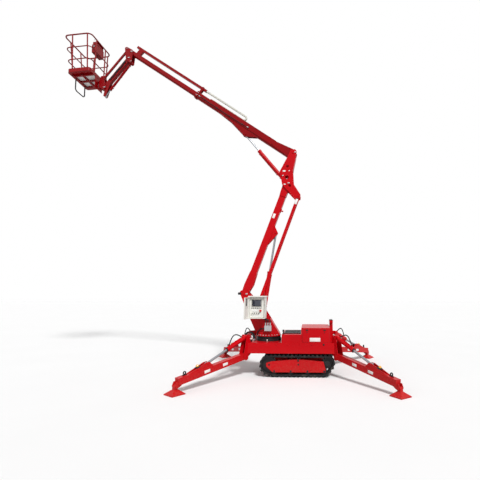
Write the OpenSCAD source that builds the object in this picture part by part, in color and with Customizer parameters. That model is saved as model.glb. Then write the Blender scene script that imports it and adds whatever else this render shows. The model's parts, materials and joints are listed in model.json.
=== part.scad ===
// Articulating boom lift on rubber tracks, outriggers down and booms raised.
// Millimetres, +Z up, ground at Z = 0. Lengths run along X, the width along Y.

/* [Chassis] */
// Deck end towards the slewing ring
deck_x0 = -934; // [-1000:1:-880]
// Deck end towards the boom rest
deck_x1 = 882; // [850:1:950]
// Half width of the deck
deck_half = 480; // [440:1:500]
// Underside of the side rails
rail_z0 = 447; // [440:1:470]
// Top of the deck
deck_z = 650; // [620:1:680]
// Thickness of the deck plate
deck_t = 10; // [6:1:14]
// Width of the side rails
rail_w = 60; // [40:1:80]

/* [Tracks] */
// Width of a track
track_w = 230; // [200:1:240]
// Outer face of a track from the middle
track_face = 485; // [485:1:520]
// Thickness of the belt
belt_t = 25; // [18:1:30]
// Height of the lugs
lug_h = 22; // [14:1:26]
// Lugs round one half of a track
lug_count = 40; // [30:1:44]
// Idler centre along the track
idler_x = -445; // [-480:1:-420]
// Idler centre above ground
idler_z = 228; // [220:1:232]
// Radius of the belt round the idler
idler_r = 173; // [160:1:175]
// Sprocket centre along the track
sprocket_x = 735; // [700:1:760]
// Sprocket centre above ground
sprocket_z = 262; // [250:1:264]
// Radius of the belt round the sprocket
sprocket_r = 134; // [120:1:136]
// First and last road roller along the track
roller_x0 = -340; // [-350:1:-300]
roller_x1 = 669; // [620:1:680]
// Radius of the belt round a road roller
roller_r = 85; // [75:1:90]
// Road rollers on one side
roller_count = 4; // [3:1:5]

/* [Hood] */
// Low hood, start and end
hood_x0 = -193; // [-200:1:-180]
hood_x1 = 209; // [180:1:240]
// End of the tall hood
hood_x2 = 806; // [760:1:806]
// Top of the low hood
hood_low_z = 812; // [780:1:840]
// Top of the tall hood
hood_tall_z = 940; // [900:1:960]
// Half width of the low hood
hood_half = 470; // [420:1:475]
// Half width of the tall hood
hood_tall_half = 450; // [400:1:460]
// Thickness of the hood sheets
sheet_t = 4; // [2:1:6]
// Top of the boom rest
rest_z = 1078; // [1000:1:1085]

/* [Turret] */
// Slewing axis along the chassis
slew_x = -513; // [-540:1:-490]
// Radius of the slewing ring
ring_r = 270; // [250:1:280]
// Height of the fixed ring
ring_fixed_h = 50; // [40:1:60]
// Height of the turning ring
ring_turn_h = 49; // [40:1:60]
// Half gap between the tower and knuckle plates
plate_gap = 95; // [95:1:110]
// Thickness of the tower and knuckle plates
plate_t = 12; // [8:1:16]
// Control cabinet width, depth and height
cabinet_w = 350; // [300:1:380]
cabinet_d = 250; // [200:1:260]
cabinet_h = 440; // [400:1:460]
// Cabinet door, opened from its closed place
door_open = 95; // [0:1:110]

/* [Lower boom] */
// Pivot on the tower, X and Z
boom_foot = [-1059, 1626];
// Length between pivots
lower_len = 2718; // [2600:1:2800]
// Angle above the ground
lower_angle = 70.4; // [60:0.1:75]
// Depth of the tube
lower_depth = 150; // [130:1:160]
// Width of the tube
lower_width = 124; // [100:1:124]
// Wall of the boom tubes
tube_t = 6; // [4:1:8]
// Parallel link pins from the boom pins, X and Z
link_offset = [280, -310];
// Depth of the link bars
link_depth = 62; // [50:1:70]
// Thickness of the link bars
link_t = 16; // [12:1:18]
// Lift cylinder pin on the tower, X and Z
lift_base = [-648, 1240];
// Lift cylinder pin on the boom, along and off the boom line
lift_head = [1526, -170];

/* [Upper boom] */
// Upper pivot from the lower pivot of the knuckle, X and Z
knuckle_reach = [157, 777.5];
// Angle above the ground
upper_angle = 35; // [20:0.1:45]
// Length of the outer tube
outer_len = 2982; // [2900:1:3050]
// Depth of the outer tube
outer_depth = 158; // [150:1:165]
// Width of the outer tube
outer_width = 130; // [120:1:130]
// Bent lower corners of the outer tube
outer_bend = 40; // [20:1:45]
// Pivot of the jib head along the boom
tip_s = 5225; // [5150:1:5300]
// Depth of the inner tube
inner_depth = 120; // [110:1:122]
// Width of the inner tube
inner_width = 100; // [90:1:102]
// Start of the inner tube along the boom
inner_s0 = 2450; // [2400:1:2500]
// Guide bar, outer size and wall
bar_size = 62; // [58:1:66]
bar_wall = 4; // [3:1:4]
// Start of the guide bar along the boom
bar_s0 = 2834; // [2800:1:2860]
// Height of the guide bar above the pivot line
bar_height = 140; // [130:1:150]
// Cable chain thickness and width
chain_t = 42; // [36:1:44]
chain_w = 50; // [40:1:50]
// Crown of the chain bend along the boom
chain_s0 = 1506; // [1480:1:1540]
// Upper cylinder pin from the lower pivot of the knuckle, X and Z
upper_base = [-128, 186];
// Upper cylinder pin on the boom, along and below the pivot line
upper_head = [1279, 262];

/* [Jib] */
// Length between the pivots of the jib arm
jib_len = 1020; // [980:1:1060]
// Angle of the jib below the ground line
jib_drop = 57.2; // [50:0.1:62]
// Jib pivot from the boom tip, X and Z
jib_pivot = [-55, -189];
// Jib link pins from the jib arm pins, X and Z
jib_offset = [-66, 284];
// Jib cylinder pin from the jib pivot, X and Z
jib_base = [69, -107];
// Jib cylinder pin along and below the jib arm
jib_head_pin = [1179, 161];
// Half gap between the plates of head and mount
head_gap = 62; // [62:1:68]
// Half width and half depth of the jib arm
arm_half = 45; // [40:1:48]
arm_depth_half = 50; // [44:1:52]

/* [Basket] */
// Lean of the basket
basket_tilt = 5.5; // [0:0.1:8]
// Rotation axis from the jib arm pin, along the basket
turn_x = -110; // [-116:1:-108]
// Floor, start and end along the basket
floor_x0 = -735; // [-760:1:-700]
floor_x1 = -165; // [-200:1:-165]
// Half width of the floor
floor_half = 400; // [360:1:420]
// Underside of the floor above the jib arm pin
floor_z = 290; // [280:1:310]
// Height of the toe boards
toe_h = 100; // [80:1:120]
// Top rail, start and end along the basket
rail_x0 = -830; // [-860:1:-800]
rail_x1 = -140; // [-160:1:-140]
// Half width of the top rail
rail_half = 455; // [430:1:480]
// Top rail above the jib arm pin
rail_top = 1335; // [1300:1:1400]
// Radius of the rail tubes
rail_r = 17; // [14:1:20]

/* [Outriggers] */
// Hinge from the middle, X, Y and Z
hinge_at = [960, 470, 396];
// Foot from the middle, X and Y
foot_at = [1860, 1730];
// Width and depth of the beam
beam_w = 115; // [100:1:115]
// Height of the pad pivot
pad_pivot = 120; // [110:1:140]
// Side of the pad
pad_side = 250; // [220:1:280]
// Rod pin along the beam plane and above ground
leg_head = [930, 388];
// Barrel pin along the beam plane and above ground
leg_base = [-40, 760];

/* [Cylinders] */
// Barrel radius and rod radius of the lift cylinder
lift_r = [48, 24];
// Barrel radius and rod radius of the upper cylinder
upper_r = [45, 22];
// Barrel radius and rod radius of the jib cylinder
jib_r = [28, 15];
// Barrel radius and rod radius of an outrigger cylinder
leg_r = [42, 22];
// Barrel lengths: lift, upper, jib and outrigger
lift_barrel_len = 885; // [860:1:900]
upper_barrel_len = 883; // [860:1:890]
jib_barrel_len = 930; // [900:1:950]
leg_barrel_len = 530; // [510:1:540]
// Rod lengths from eye to piston: lift, upper, jib and outrigger
lift_rod_len = 1015; // [1000:1:1018]
upper_rod_len = 1010; // [990:1:1012]
jib_rod_len = 480; // [460:1:520]
leg_rod_len = 588; // [580:1:590]

/* [Fits] */
// Radial clearance of a pin or rod in its bore
run_gap = 0.05; // [0.02:0.01:0.08]
// Gap between flat faces that move past each other
face_gap = 0.5; // [0.3:0.1:0.8]
// Gap between pieces that rest on each other
seat_gap = 0.3; // [0.2:0.1:0.5]

/* [Hidden] */
$fn = 48;
red = "#b0141c";
dark = "#1b1b1d";
steel = "#b9bcc0";
cream = "#e9e6dc";
grey = "#77797c";

// Places of the pivots in the X-Z plane
function polar(r, a) = [r * cos(a), r * sin(a)];
function turned(p, a) = [p.x * cos(a) - p.y * sin(a), p.x * sin(a) + p.y * cos(a)];
function heading(a, b) = atan2(b.y - a.y, b.x - a.x);
link_foot = boom_foot + link_offset;
lower_pin = boom_foot + polar(lower_len, lower_angle);
link_top = lower_pin + link_offset;
lift_eye = boom_foot + turned(lift_head, lower_angle);
upper_pin = lower_pin + knuckle_reach;
upper_heading = 180 - upper_angle;
upper_foot = lower_pin + upper_base;
upper_eye = upper_pin + turned(upper_head, upper_heading);
outer_n0 = 5;
outer_mid = outer_n0 + outer_depth / 2;
tip_pin = upper_pin + turned([tip_s, outer_mid], upper_heading);
jib_heading = 180 + jib_drop;
arm_top = tip_pin + jib_pivot;
arm_low = arm_top + polar(jib_len, jib_heading);
jlink_top = arm_top + jib_offset;
jlink_low = arm_low + jib_offset;
jib_foot = arm_top + jib_base;
jib_eye = arm_top + turned(jib_head_pin, jib_heading);

// Outrigger plane
leg_turn = atan2(foot_at.y - hinge_at.y, foot_at.x - hinge_at.x);
leg_reach = norm([foot_at.x - hinge_at.x, foot_at.y - hinge_at.y]);
leg_slope = 7.6;

// The origin stands under the middle of the whole outline
reach_left = arm_low.x + rail_x0 * cos(basket_tilt) - rail_top * sin(basket_tilt) - rail_r;
reach_right = foot_at.x + pad_side / 2 * (abs(cos(leg_turn)) + abs(sin(leg_turn)));
frame_x = -(reach_left + reach_right) / 2;

// Outlines with rounded corners
function unit(v) = v / norm(v);
function fillet(a, b, c, r, n) =
    r == 0 ? [b] :
    let (
        u = unit(a - b),
        v = unit(c - b),
        half = acos(u * v) / 2,
        o = b + unit(u + v) * r / sin(half),
        p = b + u * r / tan(half),
        q = b + v * r / tan(half),
        a0 = heading(o, p),
        sweep = ((heading(o, q) - a0 + 540) % 360) - 180
    ) [for (i = [0:n]) o + polar(r, a0 + sweep * i / n)];
function rounded(p, r, n = 6) = [
    for (i = [0:len(p) - 1])
        each fillet(p[(i + len(p) - 1) % len(p)], p[i], p[(i + 1) % len(p)], is_list(r) ? r[i] : r, n)
];
function box_path(x0, x1, y0, y1) = [[x0, y0], [x1, y0], [x1, y1], [x0, y1]];

// Moves children to a point of the X-Z plane, with their X axis at an angle above the ground
module at(p, a = 0) {
    translate([p.x, 0, p.y]) rotate([0, -a, 0]) children();
}

// A plate in the X-Z plane from an outline, between two Y values
module plate(y0, y1) {
    translate([0, y1, 0]) rotate([90, 0, 0]) linear_extrude(y1 - y0) children();
}

// Two like plates on both sides of the middle plane
module plate_pair(gap, t) {
    plate(gap, gap + t) children();
    plate(-gap - t, -gap) children();
}

// A round bar across the middle plane
module cross_pin(p, r, half) {
    translate([p.x, 0, p.y]) rotate([90, 0, 0]) cylinder(r = r, h = 2 * half, center = true);
}

// A section drawn in Y and Z, drawn out along X
module along_x(x0, x1) {
    translate([x0, 0, 0]) rotate([90, 0, 90]) linear_extrude(x1 - x0) children();
}

module box_tube(x0, x1, half_w, z0, z1, t) {
    along_x(x0, x1) difference() {
        polygon(box_path(-half_w, half_w, z0, z1));
        polygon(box_path(-half_w + t, half_w - t, z0 + t, z1 - t));
    }
}

// Tube with bent corners, wider at the top than at the bottom
function bent_section(half_w, n0, n1, bend) = [
    [-half_w, n0], [half_w, n0], [half_w, n1 - bend], [half_w - bend, n1],
    [-half_w + bend, n1], [-half_w, n1 - bend]
];
module bent_tube(s0, s1, half_w, n0, n1, bend, t) {
    along_x(s0, s1) difference() {
        polygon(bent_section(half_w, n0, n1, bend));
        polygon(bent_section(half_w - t, n0 + t, n1 - t, bend - t / 2));
    }
}

// Cylinder barrel along X from its eye, with a blind bore for the rod
gland_len = 40;
end_wall = 14;
module barrel(radii, len, eye_r, eye_half, pin_r) {
    color(red) difference() {
        union() {
            rotate([0, 90, 0]) cylinder(r = radii[0], h = len - gland_len);
            translate([len - gland_len, 0, 0]) rotate([0, 90, 0])
                cylinder(r = radii[0] + 5, h = gland_len);
            cross_pin([0, 0], eye_r, eye_half);
        }
        cross_pin([0, 0], pin_r + run_gap, eye_half + 1);
        translate([eye_r + end_wall, 0, 0]) rotate([0, 90, 0])
            cylinder(r = radii[1] + run_gap, h = len);
        translate([-radii[0] - eye_r, -radii[0] - 1, -radii[0] - 1])
            cube([radii[0] + eye_r - eye_r * 0.7, 2 * radii[0] + 2, 2 * radii[0] + 2]);
    }
}

// Cylinder rod along X, its eye at the far end
module rod(radii, reach, len, eye_r, eye_half, pin_r) {
    color(steel) difference() {
        union() {
            translate([reach - len, 0, 0]) rotate([0, 90, 0]) cylinder(r = radii[1], h = len);
            cross_pin([reach, 0], eye_r, eye_half);
        }
        cross_pin([reach, 0], pin_r + run_gap, eye_half + 1);
    }
}

// Track loop: belt circles in turn, each as centre X, centre Z and radius
ground_belt = lug_h;
loop = [
    [idler_x, idler_z, idler_r],
    [roller_x0, ground_belt + roller_r, roller_r],
    [roller_x1, ground_belt + roller_r, roller_r],
    [sprocket_x, sprocket_z, sprocket_r]
];
function next_of(i) = (i + 1) % len(loop);
function span_of(i) = [loop[next_of(i)].x - loop[i].x, loop[next_of(i)].y - loop[i].y];
function leave_angle(i) =
    atan2(span_of(i).y, span_of(i).x) - acos((loop[i].z - loop[next_of(i)].z) / norm(span_of(i)));
function straight_len(i) = sqrt(pow(norm(span_of(i)), 2) - pow(loop[i].z - loop[next_of(i)].z, 2));
function meet_angle(i) = leave_angle((i + len(loop) - 1) % len(loop));
function arc_sweep(i) = ((leave_angle(i) - meet_angle(i)) % 360 + 360) % 360;
function arc_len(i) = loop[i].z * arc_sweep(i) * PI / 180;
function loop_len(i = 0) = i == len(loop) ? 0 : arc_len(i) + straight_len(i) + loop_len(i + 1);
function centre_of(i) = [loop[i].x, loop[i].y];
function loop_point(s, out, i = 0) =
    s < arc_len(i)
        ? centre_of(i) + polar(loop[i].z + out, meet_angle(i) + s / loop[i].z * 180 / PI)
    : s < arc_len(i) + straight_len(i)
        ? centre_of(i) + polar(loop[i].z + out, leave_angle(i))
            + (s - arc_len(i)) * polar(1, leave_angle(i) + 90)
    : i == len(loop) - 1 ? loop_point(s - arc_len(i) - straight_len(i), out, 0)
    : loop_point(s - arc_len(i) - straight_len(i), out, i + 1);

lug_pitch = loop_len() / lug_count;
lug_foot = 0.62;
lug_tip = 0.40;
function lug_outline(shift) = [
    for (k = [0:lug_count - 1], c = [[-lug_foot, 0], [-lug_tip, lug_h], [lug_tip, lug_h], [lug_foot, 0]])
        loop_point((k + 1 + shift + c[0] / 2) * lug_pitch, c[1])
];
belt_outline = [for (k = [0:4 * lug_count - 1]) loop_point(k * lug_pitch / 4, -belt_t)];
module track_half(y0, y1, shift) {
    plate(y0, y1) difference() {
        polygon(lug_outline(shift));
        polygon(belt_outline);
    }
}
module track(side) {
    inner = track_face - track_w;
    mid = track_face - track_w / 2;
    color(dark) mirror([0, side > 0 ? 0 : 1, 0]) {
        track_half(inner, mid, 0);
        track_half(mid, track_face, 0.5);
    }
}
module track_left() { track(1); }
module track_right() { track(-1); }

// Track frame: two plates with the roller axles between them
frame_in = track_face - track_w + 45;
frame_out = track_face - 45;
frame_t = 12;
frame_low = ground_belt + roller_r - 22;
axle_r = 18;
roller_step = (roller_x1 - roller_x0) / (roller_count - 1);
wheel_gap = 6;
belt_gap = 0.6;
carrier_x = (idler_x + sprocket_x) / 2;
carrier_z = 305;
carrier_r = 40;
axles = concat(
    [[idler_x, idler_z], [carrier_x, carrier_z]],
    [for (i = [0:roller_count - 1]) [roller_x0 + i * roller_step, ground_belt + roller_r]]
);
module axle_holes() {
    for (p = axles) cross_pin(p, axle_r + seat_gap, track_face);
    cross_pin([sprocket_x, sprocket_z], axle_r + seat_gap, track_face);
}
frame_top = 330;
outer_plate = [
    [idler_x - 60, idler_z - 34], [roller_x0 - 30, frame_low], [roller_x1 + 26, frame_low],
    [roller_x1 + 26, 150], [roller_x1 - 10, 290], [carrier_x + 90, frame_top], [carrier_x - 90, frame_top],
    [idler_x + 40, 290], [idler_x - 60, idler_z + 34]
];
inner_plate = [
    [idler_x - 60, idler_z - 34], [roller_x0 - 30, frame_low], [roller_x1 + 24, frame_low],
    [sprocket_x + 60, sprocket_z - 30], [sprocket_x + 60, sprocket_z + 40], [sprocket_x - 60, sprocket_z + 60],
    [carrier_x + 90, frame_top], [carrier_x - 90, frame_top], [idler_x + 40, 290], [idler_x - 60, idler_z + 34]
];
box_z0 = ground_belt + 2 * roller_r + 8 - belt_t;
module track_frame(side) {
    color(red) mirror([0, side > 0 ? 0 : 1, 0]) difference() {
        union() {
            plate(frame_out - frame_t, frame_out) polygon(rounded(outer_plate, 18));
            plate(frame_in, frame_in + frame_t) polygon(rounded(inner_plate, 18));
            plate(frame_in, frame_out)
                polygon(box_path(idler_x + idler_r + 10, sprocket_x - sprocket_r - 10, box_z0, 255));
        }
        axle_holes();
    }
}
module track_frame_left() { track_frame(1); }
module track_frame_right() { track_frame(-1); }

// Idler, rollers and sprocket, each on its own axle
module wheel_on_axle(p, r, y_in, y_out) {
    plate(y_in, y_out) translate(p) circle(r);
    plate(frame_in - 4, frame_out + 4) translate(p) circle(axle_r);
}
hub_r = 52;
hub_neck_r = 34;
sprocket_teeth = 12;
tooth_depth = 16;
module sprocket_shape(r) {
    difference() {
        circle(r);
        for (i = [0:sprocket_teeth - 1])
            rotate(i * 360 / sprocket_teeth) translate([r + 4, 0]) circle(tooth_depth);
    }
}
module running_gear() {
    wheel_in = frame_in + frame_t + wheel_gap;
    wheel_out = frame_out - frame_t - wheel_gap;
    hub_out = frame_out + 18;
    at_sprocket = [sprocket_x, sprocket_z];
    color(dark) for (side = [0, 1]) mirror([0, side, 0]) {
        wheel_on_axle([idler_x, idler_z], idler_r - belt_t - belt_gap, wheel_in, wheel_out);
        wheel_on_axle([carrier_x, carrier_z], carrier_r, wheel_in, wheel_out);
        for (i = [0:roller_count - 1])
            wheel_on_axle(
                [roller_x0 + i * roller_step, ground_belt + roller_r],
                roller_r - belt_t - belt_gap, wheel_in, wheel_out
            );
        plate(wheel_in, wheel_out) translate(at_sprocket) sprocket_shape(sprocket_r - belt_t - belt_gap);
        plate(frame_in - 4, hub_out) translate(at_sprocket) circle(axle_r);
        plate(wheel_out - 1, hub_out) translate(at_sprocket) circle(hub_neck_r);
        plate(frame_out + 2, hub_out) translate(at_sprocket) circle(hub_r);
    }
}

// Chassis: deck on a ladder of rails, hangers for the track frames, corner brackets
cross_w = 50;
cross_xs = [hood_x0 - 20, hood_x1 + 10, 560];
bearer_y = 170;
bearer_h = 40;
engine_x0 = hood_x0 + 45;
engine_x1 = hood_x1 - 45;
engine_half = 210;
hanger_xs = [idler_x + 290, sprocket_x - 290];
hanger_z0 = 175;
hanger_w = 90;
bracket_gap = 60;
bracket_t = 12;
hinge_pin_r = 25;
leg_pin_r = 18;
boss_clear = beam_w / 2 + 9;
fold_clear = beam_w / 2 + 6;
leg_fold = 65;
notch_half = bracket_gap + 2;
notch_len = 200;
bracket_path = [
    [-150, deck_z], [-150, rail_z0], [-60, rail_z0 - 60], [-62, 345], [-10, 318], [62, 345],
    [66, 430], [20, 640], [leg_base.x + 52, leg_base.y - 20], [leg_base.x + 44, leg_base.y + 44],
    [leg_base.x - 44, leg_base.y + 44], [leg_base.x - 60, leg_base.y - 30], [-110, deck_z]
];

// Children drawn in the plane of one outrigger: X outwards from the hinge, Z up
module corner(sx, sy) {
    mirror([sx > 0 ? 0 : 1, 0, 0]) mirror([0, sy > 0 ? 0 : 1, 0])
        translate([hinge_at.x, hinge_at.y, 0]) rotate([0, 0, leg_turn]) children();
}
module corner_bracket() {
    plate_pair(bracket_gap, bracket_t) polygon(rounded(bracket_path, 10));
    cross_pin([0, hinge_at.z], hinge_pin_r, bracket_gap + bracket_t + 6);
    cross_pin(leg_base, leg_pin_r, bracket_gap + bracket_t + 6);
}
module chassis_frame() {
    rail_in = deck_half - rail_w;
    color(red) {
        difference() {
            translate([deck_x0, -deck_half, deck_z - deck_t])
                cube([deck_x1 - deck_x0, 2 * deck_half, deck_t]);
            translate([engine_x0 - 10, -engine_half - 10, deck_z - deck_t - 1])
                cube([engine_x1 - engine_x0 + 20, 2 * engine_half + 20, deck_t + 2]);
        }
        difference() {
            for (side = [-1, 1])
                translate([deck_x0, side > 0 ? rail_in : -deck_half, rail_z0])
                    cube([deck_x1 - deck_x0, rail_w, deck_z - deck_t - rail_z0]);
            for (sx = [-1, 1], sy = [-1, 1]) corner(sx, sy) {
                cross_pin([0, hinge_at.z], boss_clear, notch_half);
                translate([0, 0, hinge_at.z]) rotate([0, leg_slope - leg_fold, 0])
                    translate([0, -notch_half, -fold_clear]) cube([notch_len, 2 * notch_half, 2 * fold_clear]);
            }
        }
        for (x = concat([deck_x0], cross_xs, [deck_x1 - cross_w]))
            translate([x, -rail_in, rail_z0]) cube([cross_w, 2 * rail_in, deck_z - deck_t - rail_z0]);
        for (side = [-1, 1])
            translate([cross_xs[0], side * bearer_y - bearer_h / 2, rail_z0])
                cube([cross_xs[1] - cross_xs[0], bearer_h, bearer_h]);
        translate([slew_x - ring_r, -cross_w / 2, rail_z0])
            cube([2 * ring_r, cross_w, deck_z - deck_t - rail_z0]);
        for (x = hanger_xs) {
            translate([x - hanger_w / 2, -frame_in, hanger_z0])
                cube([hanger_w, 2 * frame_in, hanger_w]);
            for (side = [-1, 1])
                translate([x - hanger_w / 2, side * (frame_in - 70) - 20, hanger_z0])
                    cube([hanger_w, 40, rail_z0 - hanger_z0 + 1]);
            translate([x - hanger_w / 2, -rail_in, rail_z0]) cube([hanger_w, 2 * rail_in, 12]);
        }
        for (sx = [-1, 1], sy = [-1, 1]) corner(sx, sy) corner_bracket();
    }
}

// Hood in two steps, hollow over the deck
grille_x0 = hood_x0 + 45;
grille_x1 = hood_x1 - 40;
grille_half = 290;
grille_t = 14;
module hood_shell(x0, x1, half, z) {
    difference() {
        translate([x0, -half, deck_z]) cube([x1 - x0, 2 * half, z - deck_z]);
        translate([x0 + sheet_t, -half + sheet_t, deck_z - 1])
            cube([x1 - x0 - 2 * sheet_t, 2 * half - 2 * sheet_t, z - deck_z - sheet_t + 1]);
    }
}
module engine_hood() {
    color(red) difference() {
        union() {
            hood_shell(hood_x0, hood_x1 + sheet_t, hood_half, hood_low_z);
            hood_shell(hood_x1, hood_x2, hood_tall_half, hood_tall_z);
        }
        translate([grille_x0, -grille_half, hood_low_z - sheet_t - 1])
            cube([grille_x1 - grille_x0, 2 * grille_half, sheet_t + 2]);
    }
}
slat_count = 9;
grille_rim = 18;
module hood_grille() {
    z = hood_low_z;
    slat_pitch = (2 * grille_half - 2 * grille_rim) / slat_count;
    color(dark) difference() {
        translate([grille_x0 - grille_rim, -grille_half - grille_rim, z])
            cube([grille_x1 - grille_x0 + 2 * grille_rim, 2 * grille_half + 2 * grille_rim, grille_t]);
        for (i = [0:slat_count - 1])
            translate([grille_x0, -grille_half + grille_rim + (i + 0.3) * slat_pitch, z - 1])
                cube([grille_x1 - grille_x0, slat_pitch * 0.6, grille_t + 2]);
    }
}
module engine_block() {
    z0 = rail_z0 + bearer_h;
    color(grey) translate([engine_x0, -engine_half, z0])
        cube([engine_x1 - engine_x0, 2 * engine_half, hood_low_z - sheet_t - 12 - z0]);
}
module engine_top() {
    base = hood_low_z;
    color(dark) {
        translate([hood_x0 + 22, -330, base]) cylinder(r = 20, h = 10);
        translate([hood_x0 + 22, -330, base]) cylinder(r = 12, h = 60);
        translate([hood_x0 + 22, -350, base + 60]) rotate([-90, 0, 0]) cylinder(r = 20, h = 90);
    }
}
module boom_rest() {
    post_half = 40;
    pad_t = 14;
    color(red) difference() {
        union() {
            translate([hood_x2 + 4, -post_half, deck_z])
                cube([2 * post_half - 8, 2 * post_half, rest_z - pad_t - deck_z]);
            translate([hood_x2 + 4, -110, rest_z - pad_t - 40]) cube([2 * post_half - 8, 220, 40]);
        }
        translate([hood_x2 + 10, -post_half + 6, deck_z - 1])
            cube([2 * post_half - 20, 2 * post_half - 12, rest_z - pad_t - deck_z - 60]);
    }
    color(dark) translate([hood_x2 + 8, -100, rest_z - pad_t]) cube([2 * post_half - 16, 200, pad_t]);
}

// Slewing ring, its lower half on the deck
spigot_r = 150;
motor_r = 52;
motor_y = ring_r + motor_r + 10;
module slew_base() {
    color(dark) translate([slew_x, 0, deck_z]) difference() {
        union() {
            cylinder(r = ring_r, h = ring_fixed_h);
            translate([0, motor_y, 0]) cylinder(r = motor_r, h = ring_fixed_h + 40);
            translate([-motor_r, 0, 0]) cube([2 * motor_r, motor_y, ring_fixed_h]);
        }
        translate([0, 0, -1]) cylinder(r = spigot_r + run_gap, h = ring_fixed_h + 2);
    }
}

// Turret: turning ring, flange and two leaning plates
flange_t = 16;
ring_top = deck_z + ring_fixed_h + seat_gap + ring_turn_h;
plate_foot = ring_top + flange_t / 4;
tower_pin_r = 30;
link_pin_r = 20;
lift_pin_r = 24;
tower_path = [
    [slew_x - 240, plate_foot], [slew_x + 243, plate_foot], [slew_x + 243, ring_top + 40],
    [slew_x + 31, 1120], lift_base + [70, 20], lift_base + [20, 90], link_foot + [70, 75],
    boom_foot + [85, 40], boom_foot + [30, 88], boom_foot + [-70, 78], boom_foot + [-113, 37],
    [-910, 1082]
];
tower_round = [10, 10, 10, 60, 30, 30, 30, 40, 40, 40, 30, 200];
web_t = 10;
module tower_web(a, b) {
    at(a, heading(a, b)) translate([0, -plate_gap - 1, 0]) cube([norm(b - a), 2 * plate_gap + 2, web_t]);
}
module turret_tower() {
    z0 = deck_z + ring_fixed_h + seat_gap;
    color(dark) translate([slew_x, 0, z0]) {
        cylinder(r = ring_r - 8, h = ring_turn_h);
        translate([0, 0, -ring_fixed_h + 2]) cylinder(r = spigot_r, h = ring_fixed_h);
    }
    color(red) {
        translate([slew_x, 0, ring_top - 1]) cylinder(r = ring_r - 2, h = flange_t + 1);
        plate_pair(plate_gap, plate_t) polygon(rounded(tower_path, tower_round));
        tower_web([slew_x + 240, ring_top + 44], [slew_x + 40, 1106]);
        tower_web([-898, 1082], [slew_x - 226, ring_top + 8]);
        tower_web([-1080, 1480], [-900, 1082]);
        cross_pin(boom_foot, tower_pin_r, plate_gap + plate_t + 10);
        cross_pin(link_foot, link_pin_r, plate_gap + plate_t + 8);
        cross_pin(lift_base, lift_pin_r, plate_gap + plate_t + 8);
    }
}

// Control cabinet on the near side of the tower
cabinet_x0 = -897;
cabinet_z0 = 1122;
cabinet_y1 = -200;
cabinet_y0 = cabinet_y1 - cabinet_d;
roof_over = 16;
panel_depth = 60;
door_t = 18;
arm_t = 24;
door_low = cabinet_z0 + 8;
door_h = cabinet_h - 16;
hinge_r = 9;
hinge_pin = 4;
hinge_len = 44;
hinge_zs = [door_low + 50, door_low + door_h - 50 - hinge_len];
door_axis = [cabinet_x0, cabinet_y0 - door_t];
module cabinet_hinges() {
    for (z = hinge_zs) translate([door_axis.x, door_axis.y, z]) {
        cylinder(r = hinge_r, h = hinge_len / 2);
        translate([-hinge_r, 0, 0]) cube([hinge_r, door_t + 40, hinge_len / 2]);
        cylinder(r = hinge_pin, h = hinge_len - 2);
    }
}
module control_cabinet() {
    color(cream) {
        difference() {
            translate([cabinet_x0, cabinet_y0, cabinet_z0]) cube([cabinet_w, cabinet_d, cabinet_h]);
            translate([cabinet_x0 + 12, cabinet_y0 - 1, cabinet_z0 + 12])
                cube([cabinet_w - 24, panel_depth + 1, cabinet_h - 24]);
            translate([cabinet_x0 + 24, cabinet_y0 + panel_depth - 1, cabinet_z0 + 24])
                cube([cabinet_w - 48, cabinet_d - panel_depth - 5, cabinet_h - 48]);
        }
        translate([cabinet_x0 - roof_over, cabinet_y0 - roof_over, cabinet_z0 + cabinet_h])
            cube([cabinet_w + 2 * roof_over, cabinet_d + roof_over, 22]);
        for (z = [cabinet_z0 + 60, cabinet_z0 + 240])
            translate([cabinet_x0 + 40, cabinet_y1, z])
                cube([150, -plate_gap - plate_t - cabinet_y1, arm_t]);
        cabinet_hinges();
    }
}
panel_t = 10;
module control_panel() {
    y = cabinet_y0 + panel_depth;
    x = cabinet_x0 + 20;
    color(cream) translate([x, y - panel_t, cabinet_z0 + 20])
        cube([cabinet_w - 40, panel_t, cabinet_h - 40]);
    color("#101820") translate([x + 70, y - panel_t - 8, cabinet_z0 + 250]) cube([190, 8, 130]);
    color(red) translate([x + 230, y - panel_t, cabinet_z0 + 180])
        rotate([90, 0, 0]) cylinder(r = 22, h = 26);
    color(dark) for (i = [0:3])
        translate([x + 40 + i * 45, y - panel_t, cabinet_z0 + 90]) rotate([90, 0, 0]) cylinder(r = 12, h = 16);
}
module cabinet_door() {
    half = hinge_len / 2;
    color(cream) translate([door_axis.x, door_axis.y, 0]) rotate([0, 0, -door_open]) difference() {
        union() {
            translate([2, 0, door_low]) cube([cabinet_w - 6, door_t - face_gap, door_h]);
            for (z = hinge_zs) translate([0, 0, z + half + seat_gap]) cylinder(r = hinge_r, h = half - seat_gap);
            translate([60, -14, door_low + 230]) cube([26, 15, 120]);
        }
        translate([20, 6, door_low + 14]) cube([cabinet_w - 44, door_t, door_h - 28]);
        for (z = hinge_zs) translate([0, 0, z]) {
            translate([0, 0, -2]) cylinder(r = hinge_r + 2, h = half + seat_gap + 2);
            cylinder(r = hinge_pin + run_gap, h = hinge_len - 1);
        }
    }
}
module valve_block() {
    y0 = -plate_gap - plate_t;
    color(grey) {
        translate([-590, y0 - 70, 850]) cube([150, 70, 110]);
        for (i = [0:2]) translate([-570 + i * 50, y0 - 35, 960]) cylinder(r = 14, h = 46);
    }
}

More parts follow.
